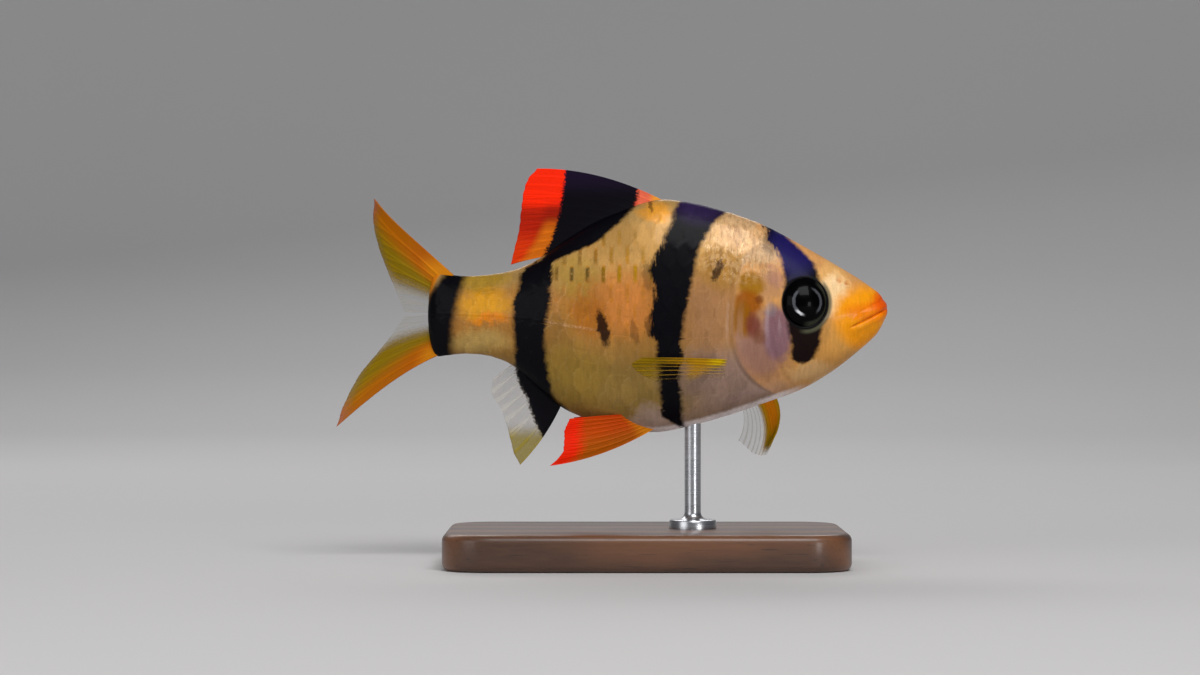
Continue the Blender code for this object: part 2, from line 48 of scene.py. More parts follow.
# The straight body, as distance behind the snout, back, belly, level of the greatest width, and half width
BODY = (
    (0, 29.3, 26.7, 28, 1.3),
    (1.5, 30.3, 25, 27.9, 1.95),
    (3, 31.35, 23.65, 27.7, 2.5),
    (5.3, 32.75, 21.8, 27.3, 3.05),
    (9, 34.9, 19.5, 26.6, 3.75),
    (13.8, 37.4, 17.7, 25.9, 4.3),
    (18.6, 39.05, 16.1, 25.4, 4.65),
    (22, 39.85, 15.2, 25.2, 4.8),
    (25.2, 40.1, 14.6, 25.2, 4.8),
    (29.3, 38.85, 15, 25.5, 4.5),
    (32.6, 37.4, 15.9, 25.9, 4.05),
    (35.6, 35.55, 17.2, 26.4, 3.5),
    (38.3, 33.65, 19.3, 26.9, 2.9),
    (41, 32.45, 21.75, 27.2, 2.35),
    (43.5, 31.95, 22.85, 27.4, 1.95),
    (46.3, 31.75, 23.2, 27.5, 1.6),
    (49.7, 32.1, 22.9, 27.6, 1.15),
    (51, 32.3, 22.75, 27.6, 0.85),
)
LENGTH = 49.7
SKIN_END = 51.0
TAIL_ROUND = 1.3
NOSE_ROUND = 1.3
FLANK_FULLNESS = 0.9
BACK_TAPER = 0.14

# The turn of the spine
STRAIGHT = 20.0
BODY_TURN = math.radians(18)
TURN_POWER = 2.1
LOBE_TURN = math.radians(26)
LOBE_TWIST = math.radians(22)
LOBE_LENGTH = 11.0
MID_LEVEL = 27.6
LOBE_LIFT = 12.6

# The gill cover's edge, which leans forward to the nape and to the throat
GILL_EDGE = 17.2
GILL_LEAN_NAPE = 2.9
GILL_LEAN_THROAT = 5.6
GILL_FADE = 11.0
GILL_STEP = 0.18
GILL_STEP_LENGTH = 1.5
GILL_TOP = 34.5
GILL_EDGE_FADE = 3.0
GILL_THROAT_FADE = 5.0
GILL_DROP = 0.22
SLIT = (-0.09, 0.35, 0.25)

# Mouth, cheek and nostrils; a ridge or groove is given by its height, middle and width
CHEEK_TOP = 30.0
CHEEK_EDGE = 12.4
CHEEK_RIDGE = (0.07, 0, 0.4)
CHEEK_GROOVE = (-0.1, 0.7, 0.3)
MOUTH_FRONT = 28.15
MOUTH_SLOPE = 0.5
MOUTH_LENGTH = 4.0
CLEFT = (-0.22, 0, 0.13)
CLEFT_LAP, CLEFT_FADE = 0.2, 0.6
LIPS = (0.13, 0.5, 0.38)
LIP_FADE = 0.8
FOLD = (-0.08, 1.25, 0.16)
FOLD_END = (2.6, 1.2)
CORNER = (-0.14, 0, 0.22)
CORNER_S, CORNER_TOP, CORNER_SLANT = 4.25, 0.6, 0.25
CORNER_SPAN = (1, -0.5, 1.1)
JAW = (0.05, 0, 0.5)
JAW_DROP, JAW_SLOPE, JAW_START, JAW_END, JAW_FADE = 2.6, 0.1, 5, 12, 3
NOSTRILS = ((4.6, 30.95, 0.2), (5.35, 31.25, 0.27))
PIT_DEPTH = 0.4
PIT_RIM = (0.1, 0, 0.14)
PIT_RIM_OUT = 1.9

# Eyes: place in side view, half axes along, up and outwards, and how far the middle lies under the skin
EYE_S = 9.25
EYE_H = 28.75
EYE_HALF = (2.5, 2.8, 1.3)
EYE_DEPTH = 0.55
EYE_FORWARD = 0.19
EYE_UPWARD = 0.12
RIM = (0.05, 0.1, 0.42)
SOCKET_DEPTH = 1.3
SOCKET_LAP = 0.14
SOCKET_FADE = 0.45
CORNEA = (0.14, 0, 1.5)
EYE_GROOVE = (-0.03, 2.2, 0.25)

# Scales: spacing along the body and height of a row, at distances behind the snout
SCALE_SPACING = ((0, 1.74), (34, 1.7), (43, 1.45), (53, 1.25))
SCALE_ROW = ((0, 2.25), (28, 2.2), (36, 1.85), (44, 1.4), (53, 1.3))
SCALE_REACH = 0.85
SCALE_CURVE = 0.75
SCALE_RISE = 0.032
SCALE_LEAST, SCALE_SPREAD, SCALE_TILT = 0.75, 0.5, 1.4
SCALE_SHIFT = 0.48
NAPE_REACH = 3.2
NAPE_START = (0.55, 0.4)
SCALES_FADE = 0.5
SCALES_END = (50.2, 1.2)
PORE_LEVEL = (0.035, 0.02, 0.07)
PORE_PLACE = (1, 0.6, 0.28)

# Fins, from part to part as in the solids, with their roots sunk under the skin
ROOT_SINK = 0.7
DORSAL_BASE = (23.4, 36.7)
DORSAL_TIPS = ((0, 38.6, 43.6, 0.3), (0.15, 39.7, 42.3, 0.35), (0.35, 40.25, 40.2, 0.4),
    (0.65, 40.7, 36.7, 0.3), (1, 41.5, 33, 0.1))
DORSAL_BOW = ((0, 0, 1.1, 0.1), (0.3, 0, 0.5, 0.1), (1, 0, 0.1, 0))
ANAL_BASE = (35.7, 40.9)
ANAL_TIPS = ((0, 40.4, 10.95, -0.3), (0.12, 40.95, 12, -0.35), (0.35, 41.8, 15, -0.35),
    (0.6, 42.6, 17.2, -0.25), (0.85, 43.6, 18.9, -0.1), (1, 43.5, 20.4, 0))
ANAL_BOW = ((0, -0.35, -0.2, 0), (1, 0, 0, 0))
UPPER_LOBE_ROOT = ((0, 47.9, 31.75), (0.12, 49.6, 31.8), (1, 49.6, 27.63))
UPPER_LOBE_TIPS = ((0, 60, 40.6, 0), (0.15, 59.5, 38.2, 0), (0.35, 58, 35, 0),
    (0.6, 56.3, 32, 0), (0.8, 55, 29.9, 0), (1, 53.9, 27.8, 0))
UPPER_LOBE_BOW = ((0, 0, 0.5, 0), (0.5, 0, 0.2, 0), (1, 0, 0, 0))
LOWER_LOBE_ROOT = ((0, 49.6, 23.1), (1, 49.6, 27.57))
LOWER_LOBE_TIPS = ((0, 62.2, 15, 0), (0.15, 61.5, 17.3, 0), (0.35, 59.9, 20.5, 0),
    (0.6, 57.3, 23.5, 0), (0.8, 55.4, 25.5, 0), (1, 53.9, 27.3, 0))
LOWER_LOBE_BOW = ((0, 0, 0.75, 0), (0.5, 0, 0.3, 0), (1, 0, 0, 0))
PELVIC_ROOT = ((0, 24.7, 15.6, 0.9), (1, 27.3, 16.6, 1.9))
PELVIC_TIPS = ((0, 36.7, 11, 3.7), (0.12, 35.6, 12.1, 3.6), (0.3, 35.3, 13.2, 3.5),
    (0.65, 35.25, 14.8, 3.3), (1, 34.7, 16.1, 3.2))
PELVIC_BOW = ((0, 0, -0.75, 0.3), (1, 0, 0.1, 0.3))
PECTORAL_ROOT = ((0, 16.7, 22.5, 3.5), (1, 17.6, 20.2, 3.4))
HELD_BACK_TIPS = ((0, 27, 22.8, 9.4), (0.35, 28, 22, 9.5), (0.7, 26.3, 20.6, 8.5),
    (1, 23.6, 19.8, 6.8))
HELD_BACK_BOW = ((0, 0.2, 0.1, 0.5), (1, 0, 0, 0.3))
HELD_DOWN_TIPS = ((0, 12.8, 12.6, 7.4), (0.3, 13, 11.8, 8.4), (0.7, 14.4, 12, 8.8),
    (1, 16, 13.4, 8.4))
HELD_DOWN_BOW = ((0, -3, 0.4, 0.5), (0.5, -2, 0.2, 0.4), (1, -1.2, 0, 0.3))

# Rays, where each parts (width, start and length of the parting), and the thickness of a fin
RAY_WIDTH, RAY_NARROWING = 0.13, 0.06
RAY_PARTINGS = ((0.24, 0.38, 0.62), (0.11, 0.68, 0.32))
WEB_THICKNESS, RAY_THICKNESS, RAY_THINNING, FLESH_REACH = 0.1, 0.13, 0.5, 0.12
JOINT_SWELL, JOINT_WAVES = 0.12, 90
JOINT_START = (0.3, 0.2)
MARGIN_WAVE = 0.006
FLUTTER_ALONG, FLUTTER_OUT = 9, 3
MIDDLE_FIN, BAND_SMOOTHING, BAND_LAP = 1, 0.85, 0.5

# Black bands, each as height, front edge and rear edge; the third also crosses the dorsal and the anal fin
BANDS = (
    ((22, 9.7, 9.6), (22.6, 8.3, 10.8), (24.2, 7.6, 10.8), (26, 7.4, 11.2), (29, 7.3, 11.5),
     (31.4, 7.6, 11.5), (33.1, 8.1, 11.8), (34.4, 9.4, 12.2), (35.6, 10.6, 13.4), (37.6, 12.4, 13.6)),
    ((15.1, 22.4, 22.5), (16.4, 22.6, 24.9), (19.4, 22.8, 25.3), (24.4, 22.6, 25.5), (25.2, 22.4, 26.4),
     (26.4, 22.2, 26.3), (28.6, 22, 26), (30.8, 21.7, 25.9), (32.3, 21.4, 26.2), (33.8, 21.1, 25.5),
     (35, 20.7, 24.8), (36.2, 19.9, 24.4), (37.7, 18.9, 23.6), (38.8, 17.5, 23.5), (40.2, 16.6, 22.6)),
    ((13.3, 36.6, 37.1), (14.1, 35.8, 38.1), (15.4, 34.6, 38.7), (16.8, 35, 39.3), (18.2, 36.3, 39.7),
     (19.6, 36.7, 40.5), (21, 36.9, 41), (24.5, 37.2, 40.7), (26.8, 37.3, 41), (28.6, 36.8, 40.9),
     (30.2, 36.6, 40.5), (32, 36.7, 40.5), (33.1, 36.6, 38.9), (33.8, 35.3, 38), (34.6, 33.7, 37.7),
     (35.4, 32, 37.2), (36.6, 30.5, 36.8), (37.6, 29.2, 36.5), (39.3, 27.8, 36.1), (40, 27.4, 36),
     (44, 27.2, 35.4)),
    ((22, 48.1, 51), (24.6, 47.7, 51.6), (27, 47.4, 52), (29.4, 46.9, 51), (30.6, 46.6, 50.1),
     (31.6, 46.4, 49.4), (33, 46.2, 48.9)),
)
BAND_SOFTNESS = (0.9, 0.8, 0.8, 0.45)
BAND_BLACK = (5, 4, 9)
FIN_BLACK = (8, 6, 12)
# Painted glow: how strongly each fin gives off light in its own colour
RED_GLOW, AMBER_GLOW, PALE_GLOW = 0.14, 0.08, 0.06

# Patches of colour on the skin: middle and reach as s and h, colour, strength and, where it isn't 0, firmness
FLANK_PATCHES = (
    ((28.8, 28.8), (4.6, 4.6), (210, 130, 62), 0.8),
    ((32.6, 27.4), (2.6, 2.8), (172, 98, 22), 0.65),
    ((36, 24.5), (3, 4.5), (136, 100, 44), 0.6),
    ((34.5, 21), (5.5, 4), (150, 118, 42), 0.75),
    ((19.5, 27), (4.5, 6.5), (164, 120, 84), 0.75),
    ((18, 20.5), (8.5, 4.2), (150, 122, 112), 0.85),
    # Cream nape: pale skin, brightened with painted light from above
    ((15.9, 36.6), (4.4, 3.4), (212, 166, 118), 0.9),
    ((18.3, 32.4), (3.2, 3), (158, 112, 46), 0.9),
    ((26.3, 15.8), (3, 2.2), (190, 166, 154), 0.6),
    ((30.5, 35.6), (4.6, 3.2), (162, 122, 62), 0.55),
    ((34.2, 31.8), (3.4, 3), (168, 138, 50), 0.55),
    ((25.6, 38.8), (2.4, 1.6), (226, 150, 40), 0.85),
    ((44.3, 28.7), (4.2, 2.3), (214, 148, 10), 0.97),
    ((43.6, 27.2), (3, 0.9), (226, 128, 10), 0.8),
    ((44.5, 31.3), (4.8, 1.6), (166, 130, 30), 0.8),
    ((45, 24.6), (4.8, 2), (186, 154, 86), 0.85),
)
FACE_PATCHES = (
    ((14.4, 24), (4.6, 5), (144, 104, 94), 0.9),
    ((13.1, 30.4), (1.8, 2), (176, 130, 92), 0.7),
    ((12.6, 31.6), (1, 1.4), (172, 122, 110), 0.6),
    ((14.2, 34.6), (3, 2.6), (200, 156, 106), 0.9, 0.2),
    ((6.6, 31.4), (2.6, 2.6), (228, 172, 102), 0.95, 0.2),
    # Painted highlight: the bright cream arc between the eye and the snout
    ((6.2, 29.8), (1.8, 3), (250, 210, 154), 0.95, 0.2),
    ((5.4, 24.6), (2.4, 2.4), (216, 154, 74), 0.85, 0.1),
    ((8.6, 21.2), (3.6, 1.5), (210, 172, 122), 0.6),
)
GILL_AND_SNOUT_PATCHES = (
    ((12.3, 25.4), (1.9, 3.6), (128, 92, 102), 0.92, 0.35),
    ((13, 28), (0.8, 1.1), (132, 120, 126), 0.6),
    ((15.2, 30.7), (1.9, 1.6), (156, 106, 8), 0.95, 0.25),
    ((15.5, 28.6), (2, 1.8), (154, 82, 0), 0.95, 0.25),
    ((16.2, 27), (1.5, 2.4), (144, 88, 4), 0.95, 0.2),
    ((15, 26.3), (1.1, 1.6), (116, 54, 44), 0.85, 0.1),
    ((14.3, 25.1), (1.1, 1.1), (120, 70, 44), 0.7),
    ((14.3, 29.1), (0.6, 0.7), (110, 54, 16), 0.75),
    ((2.3, 27.3), (4.7, 4.3), (248, 156, 4), 0.98, 0.3),
    ((2.4, 25.2), (3.2, 2), (236, 146, 6), 0.8),
    ((2.3, 27.7), (3.2, 1.4), (240, 124, 4), 0.85),
    ((0.4, 28.9), (2.2, 1.7), (230, 82, 6), 0.95),
)
# Painted violet sheen on the tops of the first two bands, and a dark red tint low on the first band
BAND_SHEEN_AND_TINT = (
    ((20.5, 39.8), (4.2, 3.2), (44, 30, 68), 1),
    ((10.4, 34.8), (3.6, 4.2), (28, 22, 84), 1, 0.1),
    ((9.2, 24), (3, 4), (20, 7, 6), 1, 0.4),
)

# Dark spots: middle, reach, strength and lean
SPOTS = (
    ((31.1, 26), (0.75, 2.4), 0.95, 0.2),
    ((27.8, 25.6), (0.5, 1.7), 0.4, 0.2),
    ((26.2, 26.2), (0.5, 1.5), 0.5, 0),
    ((18.8, 32.3), (0.65, 1.4), 0.85, -0.35),
    ((26, 39.4), (0.35, 0.9), 0.6, 0),
    ((26.3, 31.6), (0.8, 1.9), 0.4, 0),
    ((13.1, 35.2), (1.1, 1.5), 0.5, 0),
)

# Stand
BASE_LENGTH = 44.0
BASE_WIDTH = 28.0
BASE_HEIGHT = 4.0
BASE_X = 4.0
BASE_CORNER = 5.0
BASE_BEVEL = 0.8
ROD_S = 21.4
ROD_RADIUS = 0.9
FOOT_RADIUS = 2.6
FOOT_HEIGHT = 1.0
FOOT_EASE = ((0.0, 0.25), (0.08, 0.07), (0.25, 0.0))
FOOT_FILLET = 0.8
FOOT_SINK = 0.02
ROD_SINK = 0.8

# Studio, in metres: floor and backdrop, lights (name, place, size and power) and camera
SWEEP_WIDTH, SWEEP_LENGTH, SWEEP_FRONT, SWEEP_FLAT, SWEEP_RADIUS = 4.0, 3.0, 1.1, 0.35, 0.45
LIGHTS = (
    ("key", (0.13, -0.46, 0.54), (0.4, 0.3), 3.3),
    ("fill", (-0.55, -0.5, 0.22), (0.4, 0.4), 1.0),
    ("front", (0.4, -0.65, 0.08), (0.16, 0.16), 0.7),
    ("rim", (-0.1, 0.38, 0.3), (0.5, 0.14), 0.7),
)
LIGHT_AIM = (0, 0, 0.027)
WORLD_COLOUR = (214, 218, 226)
WORLD_POWER = 0.16
CAMERA_PLACE = (-0.00103, -0.3667, 0.024975)
CAMERA_LENS = 100
CAMERA_SENSOR = 36

# Mesh density
SKIN_SIDES = 320
SKIN_RINGS = 300
SIDE_CROWDING = 0.2
EYE_SIDES = 96
FIN_ROWS = 56
COLUMNS_PER_RAY = 14
SWEEP_ROWS = 40
CORNER_STEPS = 10
BEVEL_STEPS = 5
ROD_SIDES = 48
FILLET_STEPS = 8
BASE_SMOOTHING = math.radians(35)
ROD_SMOOTHING = math.radians(40)
RING_CROWDING = ((0.0, 1.5), (4.0, 1.45), (12.0, 1.3), (18.0, 1.0))
FINE_STEPS = 6000

# What an even random number is made from, and a distance beyond every scale or band
SHUFFLE = (12.9898, 78.233, 4.1, 43758.5453)
FAR = 9.0


def curve(table, column):
    """A smooth curve through one column of a table, read at values of the table's first column."""
    rows = np.array(table, float)
    places, values = rows[:, 0], rows[:, column]
    slopes = np.gradient(values, places)

    def read(at):
        at = np.clip(at, places[0], places[-1])
        i = np.clip(np.searchsorted(places, at) - 1, 0, len(places) - 2)
        step = places[i + 1] - places[i]
        t = (at - places[i]) / step
        start = values[i] + slopes[i] * step * t * (1 - t) ** 2
        climb = (values[i + 1] - values[i]) * t * t * (3 - 2 * t)
        return start + climb + slopes[i + 1] * step * t * t * (t - 1)

    return read


def curve_3d(table, side=1):
    """A smooth curve through the points of a table, after its first column; side is -1 on the right."""
    reads = [curve(table, column) for column in (1, 2, 3)]
    return lambda at: points(*(read(at) for read in reads)) * (1, 1, side)


def straight_lines(table, column):
    """Straight lines between the rows of a table."""
    rows = np.array(table, float)
    return lambda at: np.interp(at, rows[:, 0], rows[:, column])


def fade(value):
    """0 up to 0, 1 from 1 on, and smooth between."""
    t = np.clip(value, 0.0, 1.0)
    return t * t * (3 - 2 * t)


def ramp(value, start, length):
    return fade((value - start) / length)


def points(*columns):
    return np.stack(columns, axis=-1)


def hill(distance, width):
    return np.exp(-((distance / width) ** 2))


def swell(place, ridge):
    """The height at a place of a smooth ridge, which is given by its own height, middle and width."""
    height, middle, width = ridge
    return height * hill(place - middle, width)


back, belly, level, half_width = (curve(BODY, column) for column in (1, 2, 3, 4))

SPINE_S = np.linspace(0, LENGTH, 2000)
SPINE_YAW = BODY_TURN * (np.clip(SPINE_S - STRAIGHT, 0, None) / (LENGTH - STRAIGHT)) ** TURN_POWER


def running_sum(values):
    """The area under values along the spine, up to each place."""
    strips = (values[1:] + values[:-1]) / 2 * np.diff(SPINE_S)
    return np.concatenate([[0.0], np.cumsum(strips)])


SPINE_RUN = running_sum(np.cos(SPINE_YAW))
SPINE_ASIDE = running_sum(np.sin(SPINE_YAW))


def spine(s, h):
    """Distance along X and Y that the spine covers from the snout to s, and its angle there."""
    lift = np.clip((h - MID_LEVEL) / LOBE_LIFT, -1, 1)
    rate = (LOBE_TURN + LOBE_TWIST * lift) / LOBE_LENGTH
    beyond = np.maximum(s - LENGTH, 0)
    turn = np.where(beyond > 0, BODY_TURN + rate * beyond, np.interp(s, SPINE_S, SPINE_YAW))
    end = np.maximum(turn, BODY_TURN) * (beyond > 0) + BODY_TURN * (beyond <= 0)
    run = np.interp(s, SPINE_S, SPINE_RUN) + (np.sin(end) - math.sin(BODY_TURN)) / rate
    aside = np.interp(s, SPINE_S, SPINE_ASIDE) + (math.cos(BODY_TURN) - np.cos(end)) / rate
    return run, aside, turn


SNOUT_X = float(spine(LOWER_LOBE_TIPS[0][1], LOWER_LOBE_TIPS[0][2])[0]) / 2


def bend(places):
    """Points of the straight fish (s, h, w) on the curved one, in metres."""
    s, h, w = np.moveaxis(places, -1, 0)
    run, aside, turn = spine(s, h)
    return points(SNOUT_X - run + w * np.sin(turn), aside + w * np.cos(turn), h) * MM


def body_side(s, h):
    """Half width of the plain body at distance s and level h."""
    reach = np.where(h > level(s), back(s) - level(s), level(s) - belly(s))
    up = np.clip((h - level(s)) / reach, -1, 1)
    return half_width(s) * np.sqrt(1 - up * up) ** FLANK_FULLNESS * (1 - BACK_TAPER * np.maximum(up, 0))


def mouth_level(s):
    return MOUTH_FRONT - MOUTH_SLOPE * s


def plain_skin(station, turn):
    """Points of the straight skin on a station's ring, from the belly (-90 degrees) to the back (90)."""
    up = np.sin(turn)
    lean = np.where(up > 0, GILL_LEAN_NAPE, GILL_LEAN_THROAT) * up * up
    share = np.where(station < GILL_EDGE, (station / GILL_EDGE) ** 2, 1 - ramp(station, GILL_EDGE, GILL_FADE))
    s = np.maximum(station - lean * share, 0)
    nose = np.sqrt(1 - (1 - np.clip(s / NOSE_ROUND, 0, 1)) ** 2)
    tail = np.sqrt(np.clip(1 - np.clip((s - SKIN_END + TAIL_ROUND) / TAIL_ROUND, 0, 1) ** 2, 0, 1))
    reach = np.where(up > 0, back(s) - level(s), level(s) - belly(s))
    h = level(s) + reach * up * nose * tail
    across = np.sign(np.cos(turn)) * np.abs(np.cos(turn)) ** FLANK_FULLNESS
    w = half_width(s) * nose * tail * across * (1 - BACK_TAPER * np.maximum(up, 0))
    return points(s, h, w)


def eye_distance(s, h):
    """Distance from the eye's axis in side view, stretched so that the eyeball's edge is a circle."""
    return np.hypot((s - EYE_S) * EYE_HALF[1] / EYE_HALF[0], h - EYE_H)


def head_relief(s, h, station):
    """How far lips, eye rims, cheek and gill cover stand proud of the plain head, or lie under it."""
    line = h - mouth_level(s)
    lips = swell(np.abs(line), LIPS) * (1 - fade(s - MOUTH_LENGTH + LIP_FADE))
    cleft = swell(line, CLEFT) * (1 - fade((s - MOUTH_LENGTH + CLEFT_LAP) / CLEFT_FADE))
    fold = swell(line, FOLD) * (1 - ramp(s, *FOLD_END))
    corner = swell(s - CORNER_S - (line + CORNER_TOP) * CORNER_SLANT, CORNER) * swell(line, CORNER_SPAN)
    from_eye = eye_distance(s, h) - EYE_HALF[1]
    rim = swell(from_eye, RIM)
    socket = -SOCKET_DEPTH * fade((-SOCKET_LAP - from_eye) / SOCKET_FADE)
    side = fade((h - belly(s)) / GILL_THROAT_FADE) * fade((GILL_TOP - h) / GILL_EDGE_FADE)
    gill = GILL_STEP * fade((station - GILL_EDGE + GILL_STEP_LENGTH) / GILL_STEP_LENGTH)
    gill *= 1 - ramp(station, GILL_EDGE, GILL_DROP)
    slit = swell(station - GILL_EDGE, SLIT)
    cheek = swell(station - CHEEK_EDGE, CHEEK_RIDGE) + swell(station - CHEEK_EDGE, CHEEK_GROOVE)
    cheek *= fade((CHEEK_TOP - h) / GILL_EDGE_FADE)
    jaw = swell(line + JAW_DROP - s * JAW_SLOPE, JAW)
    jaw = jaw * ramp(s, JAW_START, JAW_FADE) * fade((JAW_END - s) / JAW_FADE)
    pits = 0
    for pit_s, pit_h, radius in NOSTRILS:
        from_pit = np.hypot(s - pit_s, h - pit_h)
        pits = pits - PIT_DEPTH * hill(from_pit, radius) + swell(from_pit - radius * PIT_RIM_OUT, PIT_RIM)
    return lips + cleft + fold + corner + rim + socket + (gill + slit + cheek) * side + jaw + pits


def pick(row, column):
    """An even random number from 0 to 1 for each scale, always the same."""
    by_row, by_column, start, size = SHUFFLE
    return np.modf(np.abs(np.sin(row * by_row + column * by_column + start) * size))[0]


def scale_pattern(u, v):
    """Nearness to the free edge of the scale on top (1 on the edge), its random number and the place across
    it, for places counted in scales along the body and in rows up from the middle of the flank."""
    nearest = np.full(u.shape, FAR)
    chance = np.zeros(u.shape)
    across = np.zeros(u.shape)
    for row in (np.floor(v), np.floor(v) + 1):
        aside = (v - row) / SCALE_REACH
        edge = SCALE_CURVE * (np.sqrt(np.clip(1 - aside**2, 0, 1)) - 1) + 0.5 * np.mod(row, 2)
        column = np.ceil(u - edge)
        behind = np.where(np.abs(aside) < 1, column + edge - u, FAR)
        on_top = behind < nearest
        nearest = np.where(on_top, behind, nearest)
        chance = np.where(on_top, pick(row, column), chance)
        across = np.where(on_top, aside, across)
    return 1 - np.clip(nearest, 0, 1), chance, across


def band_depth(s, h):
    """How far inside the nearest black band a place lies, in millimetres; below 0 outside."""
    depth = np.full(np.shape(s), -FAR)
    for table, softness in zip(BANDS, BAND_SOFTNESS):
        inside = np.minimum(s - straight_lines(table, 1)(h), straight_lines(table, 2)(h) - s)
        inside = np.minimum(inside, np.minimum(h - table[0][0], table[-1][0] - h))
        depth = np.maximum(depth, inside * softness)
    return depth


def tone(colour):
    """What a shader takes for a colour that is given by its screen values, 0 to 255."""
    return [c / 255 / 12.92 if c < 11 else ((c / 255 + 0.055) / 1.055) ** 2.4 for c in colour] + [1]


class Value:
    """A socket of a material's nodes. Arithmetic on it adds Math nodes."""

    def __init__(self, paint, socket):
        self.paint = paint
        self.socket = socket

    def maths(self, operation, *others):
        values = dict(enumerate((self, *others)))
        return self.paint.node("Math", {"operation": operation}, values)

    def absolute(self):
        return self.maths("ABSOLUTE")

    def __add__(self, other):
        return self.maths("ADD", other)

    def __sub__(self, other):
        return self.maths("SUBTRACT", other)

    def __rsub__(self, other):
        return self.maths("MULTIPLY_ADD", -1, other)

    def __mul__(self, other):
        return self.maths("MULTIPLY", other)

    def __truediv__(self, other):
        return self.maths("DIVIDE", other)

    def __pow__(self, other):
        return self.maths("POWER", other)

    __radd__ = __add__
    __rmul__ = __mul__


def rise(value, low, high):
    """0 at low, 1 at high and beyond, and smooth between; low may be the larger one."""
    inputs = {"Value": value, "From Min": low, "From Max": high}
    return value.paint.node("MapRange", {"interpolation_type": "SMOOTHSTEP"}, inputs)


def mix(factor, first, second):
    return factor.paint.node("Mix", {"data_type": "RGBA"}, {0: factor, 6: first, 7: second}, 2)


class Paint:
    """A material with one Principled shader. Every other node comes from the method node()."""

    def __init__(self, name, **constants):
        self.material = bpy.data.materials.new(name)
        self.material.use_nodes = True
        self.tree = self.material.node_tree
        self.shader = self.tree.nodes["Principled BSDF"]
        for socket, value in constants.items():
            self.set(socket.replace("_", " "), value)

    def join(self, value, socket):
        if isinstance(value, Value):
            self.tree.links.new(value.socket, socket)
        elif socket.type == "RGBA":
            socket.default_value = tone(value)
        else:
            socket.default_value = value

    def set(self, name, value):
        self.join(value, self.shader.inputs[name])

    def node(self, kind, settings, inputs, output=0):
        made = self.tree.nodes.new("ShaderNode" + kind)
        for name, value in settings.items():
            setattr(made, name, value)
        for place, value in inputs.items():
            self.join(value, made.inputs[place])
        return Value(self, made.outputs[output])

    def attribute(self, name, output="Vector"):
        return self.node("Attribute", {"attribute_name": name}, {}, output)

    def parts(self, vector):
        return [self.node("SeparateXYZ", {}, {0: vector}, axis) for axis in range(3)]

    def stretched(self, vector, factors):
        return self.node("VectorMath", {"operation": "MULTIPLY"}, {0: vector, 1: factors})

    def noise(self, vector, scale, detail=2.0, roughness=0.5):
        inputs = {"Vector": vector, "Scale": scale, "Detail": detail, "Roughness": roughness}
        return self.node("TexNoise", {}, inputs)

    def bump(self, height, distance, strength=1.0):
        inputs = {"Height": height, "Distance": distance * MM, "Strength": strength}
        return self.node("Bump", {}, inputs)

    def blob(self, s, h, middle, reach, firm=0.0):
        """1 in the middle of an oval on the side of the fish and 0 outside it."""
        along = (s - middle[0]) / reach[0]
        upward = (h - middle[1]) / reach[1]
        return rise(along * along + upward * upward, 1.0, firm)

    def patched(self, base, s, h, patches):
        for middle, reach, colour, share, *firm in patches:
            base = mix(self.blob(s, h, middle, reach, *firm) * share, base, colour)
        return base

    def shaded(self, colour, level):
        """A colour made brighter or darker."""
        grey = self.node("CombineColor", {}, {0: level, 1: level, 2: level})
        settings = {"data_type": "RGBA", "blend_type": "MULTIPLY"}
        return self.node("Mix", settings, {0: 1, 6: colour, 7: grey}, 2)

    def from_object(self):
        return self.node("TexCoord", {}, {}, "Object")

    def eye_gap(self, s, h):
        """Distance outside the eyeball's edge in side view."""
        along = (s - EYE_S) * (EYE_HALF[1] / EYE_HALF[0])
        upward = h - EYE_H
        return (along * along + upward * upward) ** 0.5 - EYE_HALF[1]


def add(name, operator, **settings):
    bpy.ops.object.select_all(action="DESELECT")
    operator(**settings)
    piece = bpy.context.object
    piece.name = name
    piece.data.name = name
    return piece


def corners(piece):
    """The places of a piece's vertices, as rows of three."""
    flat = np.zeros(len(piece.data.vertices) * 3)
    piece.data.vertices.foreach_get("co", flat)
    return flat.reshape(-1, 3)


def place_corners(piece, places):
    piece.data.vertices.foreach_set("co", np.ascontiguousarray(places, dtype=np.float32).ravel())
    piece.data.update()


def note(piece, name, values):
    """Keeps a value or a vector for each vertex, for the material to read."""
    values = np.asarray(values, dtype=np.float32)
    kind, field = ("FLOAT_VECTOR", "vector") if values.ndim == 2 else ("FLOAT", "value")
    piece.data.attributes.new(name, kind, "POINT").data.foreach_set(field, values.ravel())


def settle(piece, paint, slot, *nodes):
    """Gives a finished piece its material and body, and hides the solids that it stands for. Its slot is not
    used.
    """
    piece.data.materials.append(paint.material)
    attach(piece, "root")
    if nodes:
        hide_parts(*nodes)


def skin_stations():
    """Stations of the skin's rings, close together on the head, with even steps along the outline."""
    fine = SKIN_END * (1 - np.cos(np.linspace(0, math.pi, FINE_STEPS))) / 2
    outline = plain_skin(fine, np.full(fine.shape, math.pi / 2))
    middle = plain_skin(fine, np.zeros(fine.shape))
    step = np.linalg.norm(np.diff(outline, axis=0), axis=1) + np.linalg.norm(np.diff(middle, axis=0), axis=1)
    covered = np.concatenate([[0.0], np.cumsum(step * straight_lines(RING_CROWDING, 1)(fine[1:]))])
    return np.interp(np.linspace(0, covered[-1], SKIN_RINGS + 1), covered, fine)


